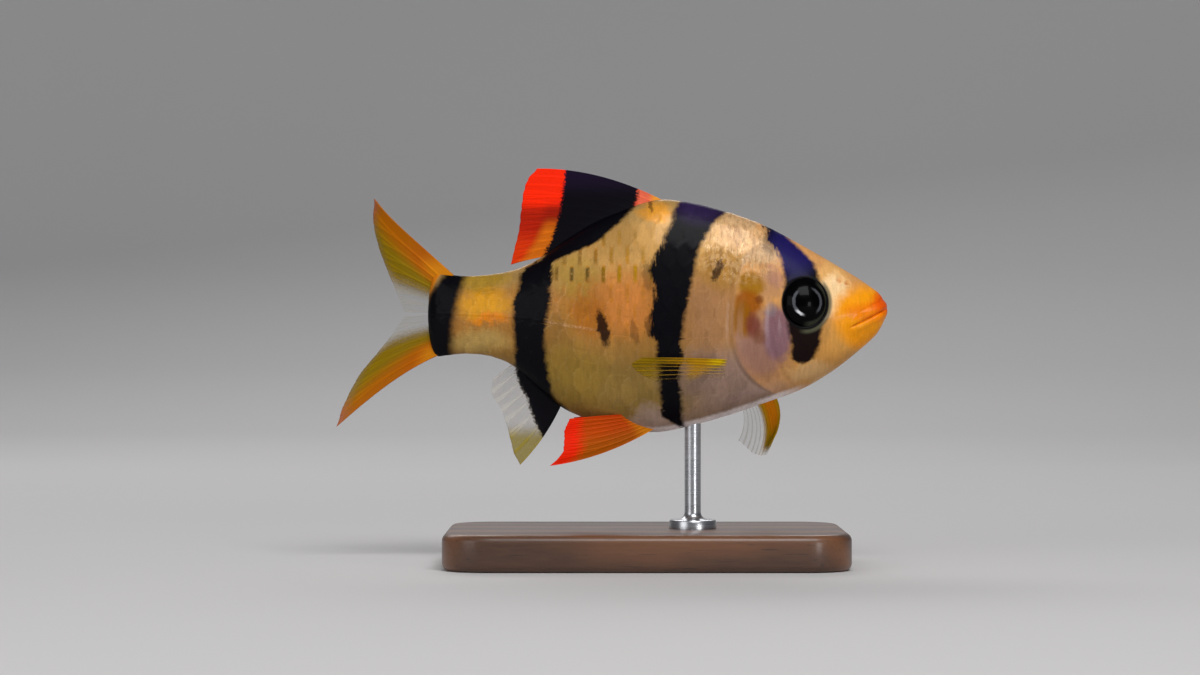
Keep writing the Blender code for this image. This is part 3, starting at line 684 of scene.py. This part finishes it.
def heights_on_flank(places):
    """Arc height of each point of each ring above the middle of its flank, below 0 under it."""
    quarter = SKIN_SIDES // 4
    steps = np.linalg.norm(np.diff(places, axis=1, append=places[:, :1]), axis=2)
    arcs = np.zeros(steps.shape)
    arcs[:, 1:quarter + 1] = np.cumsum(steps[:, :quarter], axis=1)
    arcs[:, -1:-quarter - 1:-1] = -np.cumsum(steps[:, -1:-quarter - 1:-1], axis=1)
    mirrored = (SKIN_SIDES // 2 - np.arange(SKIN_SIDES)) % SKIN_SIDES
    rear = np.arange(quarter + 1, 3 * quarter)
    arcs[:, rear] = arcs[:, mirrored[rear]]
    return arcs


def make_skin():
    """One skin from the snout to the root of the tail fin, with every scale raised on it."""
    piece = add("skin", bpy.ops.mesh.primitive_uv_sphere_add, segments=SKIN_SIDES, ring_count=SKIN_RINGS)
    piece.data.uv_layers[0].name = "OFBake"
    ball = corners(piece)
    ring = np.rint(np.arccos(np.clip(ball[:, 2], -1, 1)) / math.pi * SKIN_RINGS).astype(int)
    side = np.rint(np.arctan2(ball[:, 1], ball[:, 0]) / (2 * math.pi) * SKIN_SIDES).astype(int) % SKIN_SIDES

    angle = 2 * math.pi * np.arange(SKIN_SIDES) / SKIN_SIDES
    station, turn = np.meshgrid(skin_stations(), angle - SIDE_CROWDING * np.sin(2 * angle), indexing="ij")
    places = plain_skin(station, turn)
    s, h, w = np.moveaxis(places, -1, 0)

    along = np.gradient(places, axis=0)
    around = (np.roll(places, -1, axis=1) - np.roll(places, 1, axis=1)) / 2
    normal = np.cross(along, around)
    outward = points((s - SKIN_END / 2) * 0.02, h - level(s), w)
    normal *= np.sign(np.sum(normal * outward, axis=-1, keepdims=True))
    normal /= np.maximum(np.linalg.norm(normal, axis=-1, keepdims=True), 1e-9)
    normal[0] = (-1, 0, 0)
    normal[-1] = (1, 0, 0)

    spacing = np.linspace(0, SKIN_END, 600)
    steps = np.diff(spacing) / straight_lines(SCALE_SPACING, 1)(spacing[1:])
    counted = np.concatenate([[0.0], np.cumsum(steps)])
    u = np.interp(s, spacing, counted) - SCALE_SHIFT
    v = heights_on_flank(places) / straight_lines(SCALE_ROW, 1)(s)
    free, chance, across = scale_pattern(u, v)
    naked = GILL_EDGE + SLIT[1] - NAPE_REACH * ramp(np.sin(turn), *NAPE_START)
    scaled = ramp(station, naked, SCALES_FADE) * (1 - ramp(s, *SCALES_END))
    scales = SCALE_RISE * (SCALE_LEAST + SCALE_SPREAD * chance) * free**SCALE_TILT * scaled
    pores = swell(v, PORE_LEVEL) * swell(free, PORE_PLACE) * scaled

    rounding = np.sqrt(1 - (1 - np.clip(s / NOSE_ROUND, 0, 1)) ** 2)
    relief = head_relief(s, h, station) * rounding + scales + pores
    raised = bend(places + normal * relief[..., None])
    place_corners(piece, raised[ring, side])
    for name, values in (
        ("place", places),
        ("lie", points(station, h - belly(s), back(s) - h)),
        ("scale", points(free * scaled, chance * scaled, across)),
        ("scaled", scaled),
        ("grid", points(u, v, np.zeros_like(u))),
        ("band", band_depth(s, h)),
        ("sunk", -np.minimum(relief, 0)),
    ):
        note(piece, name, values[ring, side])
    bpy.ops.object.shade_smooth()
    return piece


def eye_frame(side):
    """Place of an eye, whose third axis looks out, a little forwards and up; side is -1 on the right."""
    outward = Vector((EYE_FORWARD, side, EYE_UPWARD)).normalized()
    along = Vector((1, 0, 0))
    along = (along - outward * along.dot(outward)).normalized()
    upward = outward.cross(along)
    depth = float(body_side(EYE_S, EYE_H)) - EYE_DEPTH
    place = Matrix((along, upward, outward)).transposed().to_4x4()
    place.translation = Vector(bend(np.array((EYE_S, EYE_H, side * depth))))
    return place


def make_eye(name, side):
    """An eyeball with a slightly domed cornea over the pupil."""
    piece = add(name, bpy.ops.mesh.primitive_uv_sphere_add, segments=EYE_SIDES, ring_count=EYE_SIDES // 2)
    local = corners(piece) * EYE_HALF
    from_axis = np.hypot(local[:, 0], local[:, 1])
    front = local[:, 2] > 0
    local[:, 2] += front * (swell(from_axis, CORNEA) + swell(from_axis, EYE_GROOVE))
    note(piece, "eye", local * (1, -side, 1))
    place = np.array(eye_frame(side))
    place_corners(piece, local * MM @ place[:3, :3].T + place[:3, 3])
    bpy.ops.object.shade_smooth()
    return piece


def ray_ridges(u, v, rays, stiff, parting):
    """1 on the crest of a ray and 0 between rays; past the stiff ones a ray parts in two, then in four."""
    x = u * (rays - 1)
    nearest = np.rint(x)
    soft = nearest >= stiff
    off = np.abs(x - nearest)
    for width, start, length in RAY_PARTINGS:
        off = np.abs(off - width * parting * ramp(v, start, length) * soft)
    return hill(off, RAY_WIDTH - RAY_NARROWING * v)


def make_fin(name, rays, stiff, root, tips, bow, flesh, flutter, parting=1.0, side=1):
    """A thin fin between its root line and its margin, with branching rays as ridges on both faces. It stands
    away from the straight way between them by its bow; side is -1 on the right."""
    columns = (rays - 1) * COLUMNS_PER_RAY
    grid = bpy.ops.mesh.primitive_grid_add
    piece = add(name, grid, x_subdivisions=columns, y_subdivisions=FIN_ROWS, size=1)
    flat = corners(piece)
    u = flat[:, 0] + 0.5
    v = flat[:, 1] + 0.5
    x = u * (rays - 1)
    ridge = ray_ridges(u, v, rays, stiff, parting)
    between = np.abs(x - np.rint(x)) * 2
    reach = v * (1 - MARGIN_WAVE * v * between + MARGIN_WAVE * v * (pick(np.rint(x), 3.0) - 0.5))
    start, way = root(u), curve_3d(tips, side)(u) - root(u)
    straight = start + way * reach[:, None] + curve_3d(bow, side)(u) * (4 * reach * (1 - reach))[:, None]
    straight[:, 2] += flutter * v * v * np.sin(u * FLUTTER_ALONG + v * FLUTTER_OUT)
    place_corners(piece, bend(straight))

    depth = band_depth(straight[:, 0], straight[:, 1])
    on_middle = np.abs(straight[:, 2]) < MIDDLE_FIN
    ridge = ridge * (1 - BAND_SMOOTHING * fade(depth + BAND_LAP) * on_middle)
    joints = 1 + JOINT_SWELL * np.sin(v * JOINT_WAVES) * ramp(v, *JOINT_START)
    thickness = WEB_THICKNESS + RAY_THICKNESS * ridge * (1 - RAY_THINNING * v) * joints
    thickness = thickness + flesh * hill(v, FLESH_REACH)
    thickest = float(thickness.max())
    weights = piece.vertex_groups.new(name="thickness")
    for index, weight in enumerate(thickness / thickest):
        weights.add([index], float(weight), "REPLACE")
    note(piece, "place", straight)
    note(piece, "fin", points(u, v, ridge))
    note(piece, "band", depth)
    wall = piece.modifiers.new("wall", "SOLIDIFY")
    wall.thickness = thickest * MM
    wall.offset = 0
    wall.vertex_group = weights.name
    bpy.ops.object.modifier_apply(modifier=wall.name)
    bpy.ops.object.shade_smooth()
    return piece


def outline_root(outline, ends, offset):
    """The root line of a fin on the back or belly, between two distances, sunk by the offset."""
    def root(u):
        s = ends[0] + (ends[1] - ends[0]) * u
        return points(s, outline(s) + offset, np.zeros_like(s))

    return root


def root_points(table):
    """The root line of a fin that goes straight from point to point of a table."""
    return lambda u: points(straight_lines(table, 1)(u), straight_lines(table, 2)(u), u * 0)


def paint_skin():
    paint = Paint("barb skin", Coat_Roughness=0.16, Specular_IOR_Level=0.05)
    noise = paint.noise
    place = paint.attribute("place")
    s, h = paint.parts(place)[:2]

    def oval(*form):
        return paint.blob(s, h, *form)

    station, over_belly, under_back = paint.parts(paint.attribute("lie"))
    free, chance, across = paint.parts(paint.attribute("scale"))
    scaled, depth, sunk = (paint.attribute(name, "Fac") for name in ("scaled", "band", "sunk"))
    patchy = noise(place, 1.6, 4.0, 0.6)
    grain = noise(place, 6.5, 3.0, 0.6)
    blotch = patchy - 0.5
    grit = grain - 0.5
    streak = noise(paint.stretched(place, (3.4, 0.8, 1.0)), 1.0, 3.0, 0.6)
    warp = (noise(place, 0.35, 3.0) - 0.5) * 2.2 + blotch * 1.5
    s_soft = s + warp
    h_soft = h + warp

    # Flank, from the olive back over a warm golden side to a pale belly
    skin = mix(rise(h_soft, 20, 27), (144, 114, 56), (172, 118, 52))
    skin = mix(rise(h_soft, 29, 34), skin, (194, 148, 84))
    skin = mix(rise(under_back + warp, 3.0, 0.0), skin, (172, 136, 80))
    skin = paint.patched(skin, s_soft, h_soft, FLANK_PATCHES)

    # Scales: each with its own shade, a paler free edge, and an olive dash at its root
    shade_of_scale = 1 + (chance - 0.5) * 0.22 * scaled
    edge = rise(free, 0.84, 0.98) * scaled
    root_mark = rise(free, 0.4, 0.15) * rise(across * across, 0.5, 0.2) * scaled
    counted, rows = paint.parts(paint.attribute("grid"))[:2]
    row = rows.maths("ROUND")
    column = counted - (row * 0.5).maths("FRACT")
    off_root = ((column + 0.42).maths("FRACT") - 0.5).absolute() + grit * 0.12
    lines = rise(off_root, 0.2, 0.03) * oval((31.0, 30.2), (7.0, 7.0), 0.2) * scaled
    dash = rise(off_root + blotch * 0.1, 0.19, 0.05) * rise((rows - row).absolute(), 0.52, 0.3)
    main_row = rise((row - 3).absolute(), 0.6, 0.4)
    dash = dash * (main_row * 0.75 + chance * 0.3 + rise(row, 3.4, 3.6) * 0.3)
    dash = dash * oval((31.2, 32.0), (6.4, 6.4), 0.4) * scaled * rise(patchy, 0.25, 0.55)
    skin = mix(lines * rise(streak, 0.3, 0.7) * 0.7, skin, (190, 116, 22))
    skin = mix(dash, skin, mix(rise(s, 28.0, 33.5), (176, 128, 6), (74, 58, 4)))
    lateral = rise(rows.absolute(), 0.12, 0.03) * rise(s, 30, 34) * rise(s, 39.5, 37) * scaled
    skin = mix(lateral * rise(grain, 0.35, 0.65) * 0.35, skin, (222, 178, 140))
    skin = mix(root_mark * 0.12, skin, (96, 70, 34))
    skin = mix(edge * 0.05, skin, (238, 214, 178))

    # Head
    on_head = rise(station, GILL_EDGE + 0.3, GILL_EDGE - 0.5)
    face = mix(rise(h_soft, 25.5, 31.0), (196, 140, 70), (214, 154, 92))
    face = paint.patched(face, s_soft, h_soft, FACE_PATCHES)
    face = paint.patched(face, s + warp * 0.35, h + warp * 0.35, GILL_AND_SNOUT_PATCHES)
    skin = mix(on_head, skin, face)
    plate_edge = rise((station - 13.5).absolute(), 0.4, 0.05) * rise(h, 29.5, 28.0) * on_head
    plate_edge = plate_edge * rise(h, 23.0, 25.5)
    skin = mix(plate_edge * (0.05 + grain * 0.2), skin, (196, 172, 180))

    # Pale pinkish underside with a painted highlight along the keel of the belly, and painted shade in the
    # sunk creases of the mouth and the nostrils
    underside = oval((18.7, 17.6), (10.5, 9.0), 0.3)
    skin = mix(rise(over_belly + warp, 3.2, 1.0) * underside * 0.4, skin, (176, 150, 150))
    # Painted highlight: a near-white line along the keel of the belly
    keel_highlight = rise(over_belly + blotch * 0.3, 0.8, 0.35) * underside
    skin = mix(keel_highlight * 0.95, skin, (255, 244, 242))
    # Painted shade: darker orange where the skin is sunk, in the mouth's creases and the nostrils
    skin = mix(rise(sunk, 0.1, 0.34) * 0.4 * rise(s, 6.0, 5.0), skin, (160, 58, 6))

    # Bands, with ragged edges that follow the scales; black, with a painted violet sheen on the back
    wild = oval((25.9, 32.0), (2.0, 9.5), 0.3) + oval((13.2, 35.6), (1.8, 3.4), 0.3)
    ragged = blotch * 0.3 + grit * 0.1 + (chance - 0.5) * 0.4 * scaled + (streak - 0.5) * 1.7 * wild
    ragged = ragged * rise(s, 47.0, 43.0) + blotch * 0.3
    band = rise(depth + ragged, -0.3, 0.36)
    dark = paint.patched(BAND_BLACK, s, h, BAND_SHEEN_AND_TINT)
    marks = 0
    for middle, reach, share, lean in SPOTS:
        upright = s + blotch * 1.1 - (h - middle[1]) * lean
        marks = marks + paint.blob(upright, h + grit * 1.4, middle, reach, 0.3) * share
    skin = mix(marks, skin, (34, 15, 8))
    skin = mix(band, skin, dark)
    fin_root = rise(s + (h - 31) * 0.5, 49.7, 50.2) * rise(h, 29.4, 30.4)
    skin = mix(fin_root, skin, (206, 118, 14))

    # Orbit: a dark socket, with a grey-green crescent round its front and lower side
    eye_gap = paint.eye_gap(s, h)
    ahead = rise((EYE_S - s) + (EYE_H - h) * 0.4, 0.3, 1.6)
    skin = mix(rise(eye_gap, 0.7, 0.3) * ahead * 0.85, skin, (88, 88, 68))
    skin = mix(rise(eye_gap, 0.24, 0.02), skin, (8, 6, 8))

    # Painted glints: bright cream clumps and flecks, thickest on the nape and a little metallic too; darker
    # streaks, fine grain and the shade of each scale
    sparkling = oval((16.4, 35.2), (6.0, 5.2), 0.3)
    glint_clumps = rise(patchy, 0.4, 0.62)
    skin = mix(glint_clumps * sparkling * (1 - band) * (0.3 - marks * 0.3), skin, (238, 200, 150))
    skin = mix(rise(streak, 0.5, 0.34) * sparkling * (1 - band) * 0.4, skin, (138, 98, 62))
    glint_fleck = rise(noise(paint.stretched(place, (1.6, 0.8, 1.0)), 2.6, 4.0, 0.8), 0.6, 0.7)
    painted_glints = glint_fleck * (sparkling * (0.2 + glint_clumps * 0.8) + 0.06) * (1 - band * 0.92) * (1 - marks)
    skin = mix(painted_glints, skin, (255, 232, 196))
    paint.set("Base Color", paint.shaded(skin, shade_of_scale * (0.62 + grain * 0.3 + streak * 0.46)))
    paint.set("Metallic", (1 - band) * scaled * (0.12 + edge * 0.2 + painted_glints * 0.4))
    paint.set("Roughness", 0.46 - (1 - band) * 0.1 + grit * 0.2)
    paint.set("Coat Weight", 0.2 - band * 0.15)
    height = grain * 0.35 + noise(place, 18.0, 2.0) * 0.2 + patchy * 0.3 + streak * sparkling * 0.3
    paint.set("Normal", paint.bump(height, 0.05, 0.6))
    return paint


def fin_paint(name, look, glow=PALE_GLOW):
    """A fin's material. Its look gives its colour and cover (1 is opaque) from the place, as s and h and as
    shares along the root (u) and out to the margin (v), the rays' ridges, a grain and the band."""
    fin = Paint(name, Coat_Weight=0.03, Coat_Roughness=0.25, Roughness=0.55, Emission_Strength=glow)
    fin.set("Specular IOR Level", 0.05)
    place = fin.attribute("place")
    fin.s, fin.h = fin.parts(place)[:2]
    fin.u, fin.v, fin.ridge = fin.parts(fin.attribute("fin"))
    fin.depth = fin.attribute("band", "Fac")
    fin.grain = fin.noise(place, 4.0, 3.0, 0.6)
    fin.grit = fin.grain - 0.5
    fin.band = rise(fin.depth + fin.grit * 0.9, -0.1, 0.25)
    colour, cover = look(fin)
    shade = fin.shaded(colour, 0.82 + fin.grain * 0.2 + fin.ridge * 0.16)
    fin.set("Base Color", shade)
    # Painted glow: the fin gives off light in its own colour
    fin.set("Emission Color", shade)
    fin.set("Alpha", cover)
    fin.set("Normal", fin.bump(fin.ridge * 0.6 + fin.grain * 0.3, 0.05, 0.5))
    return fin


def dorsal_look(fin):
    red = mix(rise(fin.h, 38.6, 40.2), (168, 28, 4), (250, 40, 4))
    red = mix(rise(fin.h, 37.4, 34.5), red, (204, 50, 4))
    dark_red = rise(fin.depth, -1.8, -0.6) * rise(fin.h, 40.2, 38.6)
    red = mix(dark_red * 0.8, red, (140, 24, 4))
    wedge = rise(fin.depth - (fin.h - 34.5) * 0.12, -1.9, -0.9) * rise(fin.h, 38.6, 36.6)
    red = mix(wedge * 0.9, red, (206, 106, 14))
    red = mix(rise(fin.s, 28.6, 27.0), red, (226, 104, 74))
    red = mix(rise(fin.s, 26.4, 25.4), red, (236, 156, 50))
    black = mix(rise(fin.h, 40.0, 43.0), FIN_BLACK, (24, 14, 36))
    colour = mix(fin.band, red, black)
    return colour, 0.93 + fin.band * 0.07 + fin.ridge * 0.05


def anal_look(fin):
    clear = mix(fin.ridge * 0.8, (146, 138, 126), (200, 194, 182))
    clear = mix(rise(fin.h, 15.8, 13.6), clear, (150, 132, 34))
    colour = mix(fin.band, clear, FIN_BLACK)
    tip = rise(fin.h, 16.0, 13.6)
    cover = 0.13 + fin.ridge * 0.2 + tip * 0.5 * rise(fin.u, 0.62, 0.2)
    return colour, cover + (0.96 - cover) * fin.band


def caudal_look(fin):
    amber = mix(rise(fin.u + (fin.v - 0.5) * 0.3, 0.12, 0.42), (174, 96, 2), (136, 108, 8))
    amber = mix(rise(fin.v, 0.5, 0.16) * rise(fin.u, 0.45, 0.1), amber, (180, 90, 2))
    amber = mix(rise(fin.v, 0.3, 0.08) * rise(fin.u, 0.4, 0.15), amber, (204, 124, 12))
    amber = mix(rise(fin.v, 0.9, 1.0) * rise(fin.u, 0.25, 0.05) * 0.5, amber, (178, 70, 24))
    clear = mix(fin.ridge, (128, 122, 104), (160, 150, 124))
    shade = mix(rise(fin.u, 0.6, 0.84), amber, clear)
    root = rise(fin.v + fin.grit * 0.04, 0.13, 0.08)
    colour = mix(root * rise(fin.u, 0.45, 0.6), shade, (14, 10, 20))
    inner = rise(fin.u + fin.grit * 0.12, 0.84, 0.44) * (1 - rise(fin.v, 0.8, 1.0) * 0.35)
    solid_root = rise(fin.v, 0.13, 0.08) * 0.7
    return colour, 0.07 + solid_root + inner * 0.9 + fin.ridge * 0.1


def pelvic_look(fin):
    orange = mix(rise(fin.u, 0.1, 0.6), (166, 80, 4), (184, 66, 2))
    orange = mix(rise(fin.v, 0.3, 0.1), orange, (214, 132, 14))
    red = rise(fin.v + fin.grit * 0.14, 0.72, 0.9)
    orange = mix(red, orange, (226, 34, 2))
    colour = mix(rise(fin.u, 0.9, 1.0) * 0.6, orange, (206, 50, 4))
    return colour, 0.93 + fin.ridge * 0.06


def pectoral_look(fin):
    yellow = mix(rise(fin.s, 18.5, 20.5), (214, 178, 8), (182, 134, 14))
    yellow = mix(rise(fin.s, 22.0, 26.0), yellow, (136, 106, 6))
    colour = mix(rise(fin.u, 0.6, 1.0), yellow, (140, 118, 50))
    lead = rise(fin.u + fin.grit * 0.1, 0.36, 0.14) * 0.45
    wedge = rise(fin.u - (fin.s - 18.2) * 0.2, 0.35, -0.2) * rise(fin.s, 22.8, 21.0) * 0.6
    rear = rise(fin.s, 24.6, 26.4) * rise(fin.u, 1.0, 0.5) * 0.55
    rays = rise(fin.ridge, 0.3, 0.8) * rise(fin.u, 0.9, 0.4) * 0.45
    return colour, (lead + wedge + rear + rays) * rise(fin.s, 17.2, 18.6)


def far_pectoral_look(fin):
    orange = mix(rise(fin.v, 0.6, 0.9), (226, 136, 10), (158, 132, 14))
    orange = mix(rise((fin.u - 0.26).absolute(), 0.08, 0.26), orange, (196, 154, 16))
    clear = mix(fin.ridge, (132, 126, 108), (176, 168, 144))
    colour = mix(rise(fin.u, 0.5, 0.64), orange, clear)
    lead = rise(fin.u + fin.v * 0.1, 0.66, 0.5) * rise(fin.v, 1.0, 0.86)
    return colour, 0.08 + lead * 0.88 + fin.ridge * 0.2


def paint_eye():
    """A black, wet eye with a thin broken ring of silver round the pupil, and a painted highlight where the
    ring turns near white low at its rear.
    """
    paint = Paint("eye", Coat_Weight=0.14, Coat_Roughness=0.08, Coat_IOR=1.34, Specular_IOR_Level=0.02)
    eye = paint.attribute("eye")
    forward, upward = paint.parts(eye)[:2]
    radius = (forward * forward + upward * upward) ** 0.5
    streaks = paint.noise(paint.stretched(eye, (3.0, 3.0, 1.0)), 1.4, 4.0, 0.7)
    ring = rise((radius - 1.52 + (streaks - 0.5) * 0.24).absolute(), 0.22, 0.04)
    rear = rise(forward + upward * 0.25, -0.5, -1.2)
    ahead = rise(forward + upward * 0.2, 0.6, 1.3)
    ring = ring * (rear + ahead * 0.8)
    # Painted highlight: the ring turns near white low down at its rear
    painted_glint = paint.blob(forward, upward, (-0.85, -1.25), (0.8, 0.5))
    orbit = rise(radius, 2.0, 2.3) * rise(forward - upward * 0.3, 0.2, 1.2)
    colour = mix(orbit, (2, 2, 3), (50, 52, 42))
    colour = mix(ring * 0.7, colour, (120, 122, 128))
    colour = mix(painted_glint * ring, colour, (226, 228, 230))
    paint.set("Base Color", colour)
    paint.set("Metallic", ring * (1 - painted_glint) * 0.5)
    paint.set("Roughness", 0.28 - ring * 0.06 + streaks * 0.06)
    return paint


def paint_walnut():
    """Walnut with its grain along the base, under a satin lacquer."""
    paint = Paint("walnut", Coat_Weight=0.45, Coat_Roughness=0.22)
    place = paint.from_object()
    wander = paint.noise(paint.stretched(place, (22.0, 60.0, 60.0)), 1.0, 3.0)
    y, z = paint.parts(place)[1:]
    rings = ((y * 900 + z * 500 + wander * 9.0).maths("SINE") + 1) * 0.5
    fibre = paint.noise(paint.stretched(place, (45.0, 420.0, 420.0)), 6.0, 5.0, 0.7)
    pores = rise(paint.noise(paint.stretched(place, (260.0, 5200.0, 5200.0)), 1.0, 2.0), 0.62, 0.7)
    colour = mix(rings * 0.6 + fibre * 0.4, (44, 24, 13), (124, 78, 46))
    colour = mix(pores * 0.6, colour, (34, 18, 10))
    paint.set("Base Color", colour)
    paint.set("Roughness", 0.42 + fibre * 0.2)
    paint.set("Normal", paint.bump(fibre - pores * 0.5, 0.04, 0.4))
    return paint


def paint_steel():
    """Brushed steel, with fine lines round the rod."""
    paint = Paint("brushed steel", Metallic=1.0)
    lines = paint.noise(paint.stretched(paint.from_object(), (300.0, 300.0, 9000.0)), 1.0, 3.0)
    paint.set("Base Color", mix(lines, (168, 170, 174), (214, 215, 218)))
    paint.set("Roughness", 0.2 + lines * 0.2)
    paint.set("Normal", paint.bump(lines, 0.01, 0.3))
    return paint


def paint_paper():
    """A pale, matt studio sweep with a very fine tooth."""
    paint = Paint("pale paper", Roughness=0.85)
    place = paint.from_object()
    paint.set("Base Color", mix(paint.noise(place, 4.0, 2.0), (206, 204, 204), (216, 214, 213)))
    paint.set("Normal", paint.bump(paint.noise(place, 900.0, 3.0), 0.05, 0.15))
    return paint


def mode(name):
    bpy.ops.object.mode_set(mode=name)


def pick_edges(piece, test):
    """Selects in edit mode the edges whose two ends pass a test."""
    mode("EDIT")
    bpy.ops.mesh.select_mode(type="EDGE")
    bpy.ops.mesh.select_all(action="DESELECT")
    mode("OBJECT")
    for edge in piece.data.edges:
        first, second = (piece.data.vertices[index].co for index in edge.vertices)
        edge.select = test(first, second)
    mode("EDIT")


def make_base():
    """A flat base with round corners and eased edges."""
    size = Vector((BASE_LENGTH, BASE_WIDTH, BASE_HEIGHT)) * MM
    middle = Vector((BASE_X, 0, BASE_HEIGHT / 2)) * MM
    piece = add("base", bpy.ops.mesh.primitive_cube_add, size=1, location=middle, scale=size)
    bpy.ops.object.transform_apply()
    pick_edges(piece, lambda a, b: abs(a.z - b.z) > MM)
    bpy.ops.mesh.bevel(offset=BASE_CORNER * MM, segments=CORNER_STEPS)
    mode("OBJECT")
    pick_edges(piece, lambda a, b: abs(a.z - b.z) < MM / 100)
    bpy.ops.mesh.bevel(offset=BASE_BEVEL * MM, segments=BEVEL_STEPS)
    mode("OBJECT")
    bpy.ops.object.shade_smooth_by_angle(angle=BASE_SMOOTHING)
    return piece


def make_rod():
    """A rod with a flanged foot, drawn up ring by ring from a disc on the base."""
    foot = BASE_HEIGHT - FOOT_SINK
    x = SNOUT_X - ROD_S
    piece = add("rod", bpy.ops.mesh.primitive_circle_add, vertices=ROD_SIDES, radius=FOOT_RADIUS * MM,
                fill_type="NGON", location=Vector((x, 0, foot)) * MM)
    bpy.ops.object.transform_apply()
    profile = [(FOOT_RADIUS - inward, FOOT_HEIGHT - down) for inward, down in FOOT_EASE]
    for k in range(FILLET_STEPS + 1):
        angle = math.radians(90 * k / FILLET_STEPS)
        out = ROD_RADIUS + FOOT_FILLET * (1 - math.sin(angle))
        profile.append((out, FOOT_HEIGHT + FOOT_FILLET * (1 - math.cos(angle))))
    profile.append((ROD_RADIUS, float(belly(ROD_S)) + ROD_SINK - foot))
    mode("EDIT")
    bpy.ops.mesh.select_all(action="SELECT")
    radius, height = FOOT_RADIUS, 0.0
    for new_radius, new_height in profile:
        lift = Vector((0, 0, new_height - height)) * MM
        bpy.ops.mesh.extrude_region_move(TRANSFORM_OT_translate={"value": lift})
        ratio = new_radius / radius
        bpy.ops.transform.resize(value=(ratio, ratio, 1), center_override=Vector((x, 0, 0)) * MM)
        radius, height = new_radius, new_height
    bpy.ops.mesh.select_all(action="SELECT")
    bpy.ops.mesh.normals_make_consistent(inside=False)
    mode("OBJECT")
    bpy.ops.object.shade_smooth_by_angle(angle=ROD_SMOOTHING)
    return piece


def make_sweep():
    """A floor that curves up behind into a backdrop."""
    piece = add("sweep", bpy.ops.mesh.primitive_grid_add, x_subdivisions=4, y_subdivisions=SWEEP_ROWS, size=1)
    flat = corners(piece)
    travel = (flat[:, 1] + 0.5) * SWEEP_LENGTH - SWEEP_FRONT
    turn = np.clip((travel - SWEEP_FLAT) / SWEEP_RADIUS, 0, math.pi / 2)
    wall = np.maximum(travel - SWEEP_FLAT - SWEEP_RADIUS * math.pi / 2, 0)
    y = np.minimum(travel, SWEEP_FLAT) + SWEEP_RADIUS * np.sin(turn)
    z = SWEEP_RADIUS * (1 - np.cos(turn)) + wall
    place_corners(piece, points(flat[:, 0] * SWEEP_WIDTH, y, z))
    bpy.ops.object.shade_smooth()
    piece.data.materials.append(paint_paper().material)


def make_lights():
    """A large soft key from above in front, two weaker lights to the sides, and a strip behind the fins."""
    for name, place, size, power in LIGHTS:
        bpy.ops.object.light_add(type="AREA", location=place)
        lamp = bpy.context.object
        lamp.name = name
        lamp.data.shape = "RECTANGLE"
        lamp.data.size, lamp.data.size_y = size
        lamp.data.energy = power
        lamp.rotation_euler = (Vector(LIGHT_AIM) - lamp.location).to_track_quat("-Z", "Y").to_euler()
    world = bpy.data.worlds.new("studio")
    bpy.context.scene.world = world
    world.use_nodes = True
    colour, power = world.node_tree.nodes["Background"].inputs[:2]
    colour.default_value = tone(WORLD_COLOUR)
    power.default_value = WORLD_POWER


def make_camera():
    """A level camera at the right side of the fish."""
    bpy.ops.object.camera_add(location=CAMERA_PLACE, rotation=(math.pi / 2, 0, 0))
    camera = bpy.context.object
    camera.data.lens = CAMERA_LENS
    camera.data.sensor_width = CAMERA_SENSOR
    camera.data.clip_start = 0.01
    bpy.context.scene.camera = camera


def make_fish():
    settle(make_skin(), paint_skin(), "body_skin", "head", "lower_jaw", "torso", "tail_stalk")
    eye = paint_eye()
    for name, side in (("right", -1), ("left", 1)):
        settle(make_eye("eyeball_" + name, side), eye, "eye", "eye_" + name)

    root = outline_root(back, DORSAL_BASE, -ROOT_SINK)
    fin = make_fin("dorsal", 11, 3, root, DORSAL_TIPS, DORSAL_BOW, flesh=0.45, flutter=0.15)
    settle(fin, fin_paint("dorsal membrane", dorsal_look, RED_GLOW), "red_fin", "dorsal_fin")
    root = outline_root(belly, ANAL_BASE, ROOT_SINK)
    fin = make_fin("anal", 8, 2, root, ANAL_TIPS, ANAL_BOW, flesh=0.4, flutter=0.12, parting=0.5)
    settle(fin, fin_paint("anal membrane", anal_look), "dark_fin", "anal_fin")

    caudal = fin_paint("caudal membrane", caudal_look, AMBER_GLOW)
    for name, root, tips, bow in (
        ("upper", UPPER_LOBE_ROOT, UPPER_LOBE_TIPS, UPPER_LOBE_BOW),
        ("lower", LOWER_LOBE_ROOT, LOWER_LOBE_TIPS, LOWER_LOBE_BOW),
    ):
        fin = make_fin("tail_" + name, 9, 1, root_points(root), tips, bow, flesh=0.5, flutter=0.1)
        settle(fin, caudal, "amber_fin", f"tail_fin_{name}_lobe")

    pelvic = fin_paint("pelvic membrane", pelvic_look, RED_GLOW)
    for name, side in (("right", -1), ("left", 1)):
        root = curve_3d(PELVIC_ROOT, side)
        fin = make_fin("pelvic_" + name, 9, 1, root, PELVIC_TIPS, PELVIC_BOW, 0.3, 0.1, side=side)
        settle(fin, pelvic, "red_fin", "pelvic_fin_" + name)
    for name, side, rays, tips, bow, look in (
        ("right", -1, 9, HELD_BACK_TIPS, HELD_BACK_BOW, pectoral_look),
        ("left", 1, 12, HELD_DOWN_TIPS, HELD_DOWN_BOW, far_pectoral_look),
    ):
        fin = make_fin("pectoral_" + name, rays, 1, curve_3d(PECTORAL_ROOT, side), tips, bow, flesh=0.25,
                       flutter=0.05, parting=0.25, side=side)
        settle(fin, fin_paint("pectoral membrane " + name, look), "amber_fin", "pectoral_fin_" + name)


make_camera()
make_fish()
settle(make_base(), paint_walnut(), "stand_wood", "stand_base")
settle(make_rod(), paint_steel(), "stand_steel", "stand_rod")
make_sweep()
make_lights()
bpy.context.scene.view_settings.view_transform = "Standard"
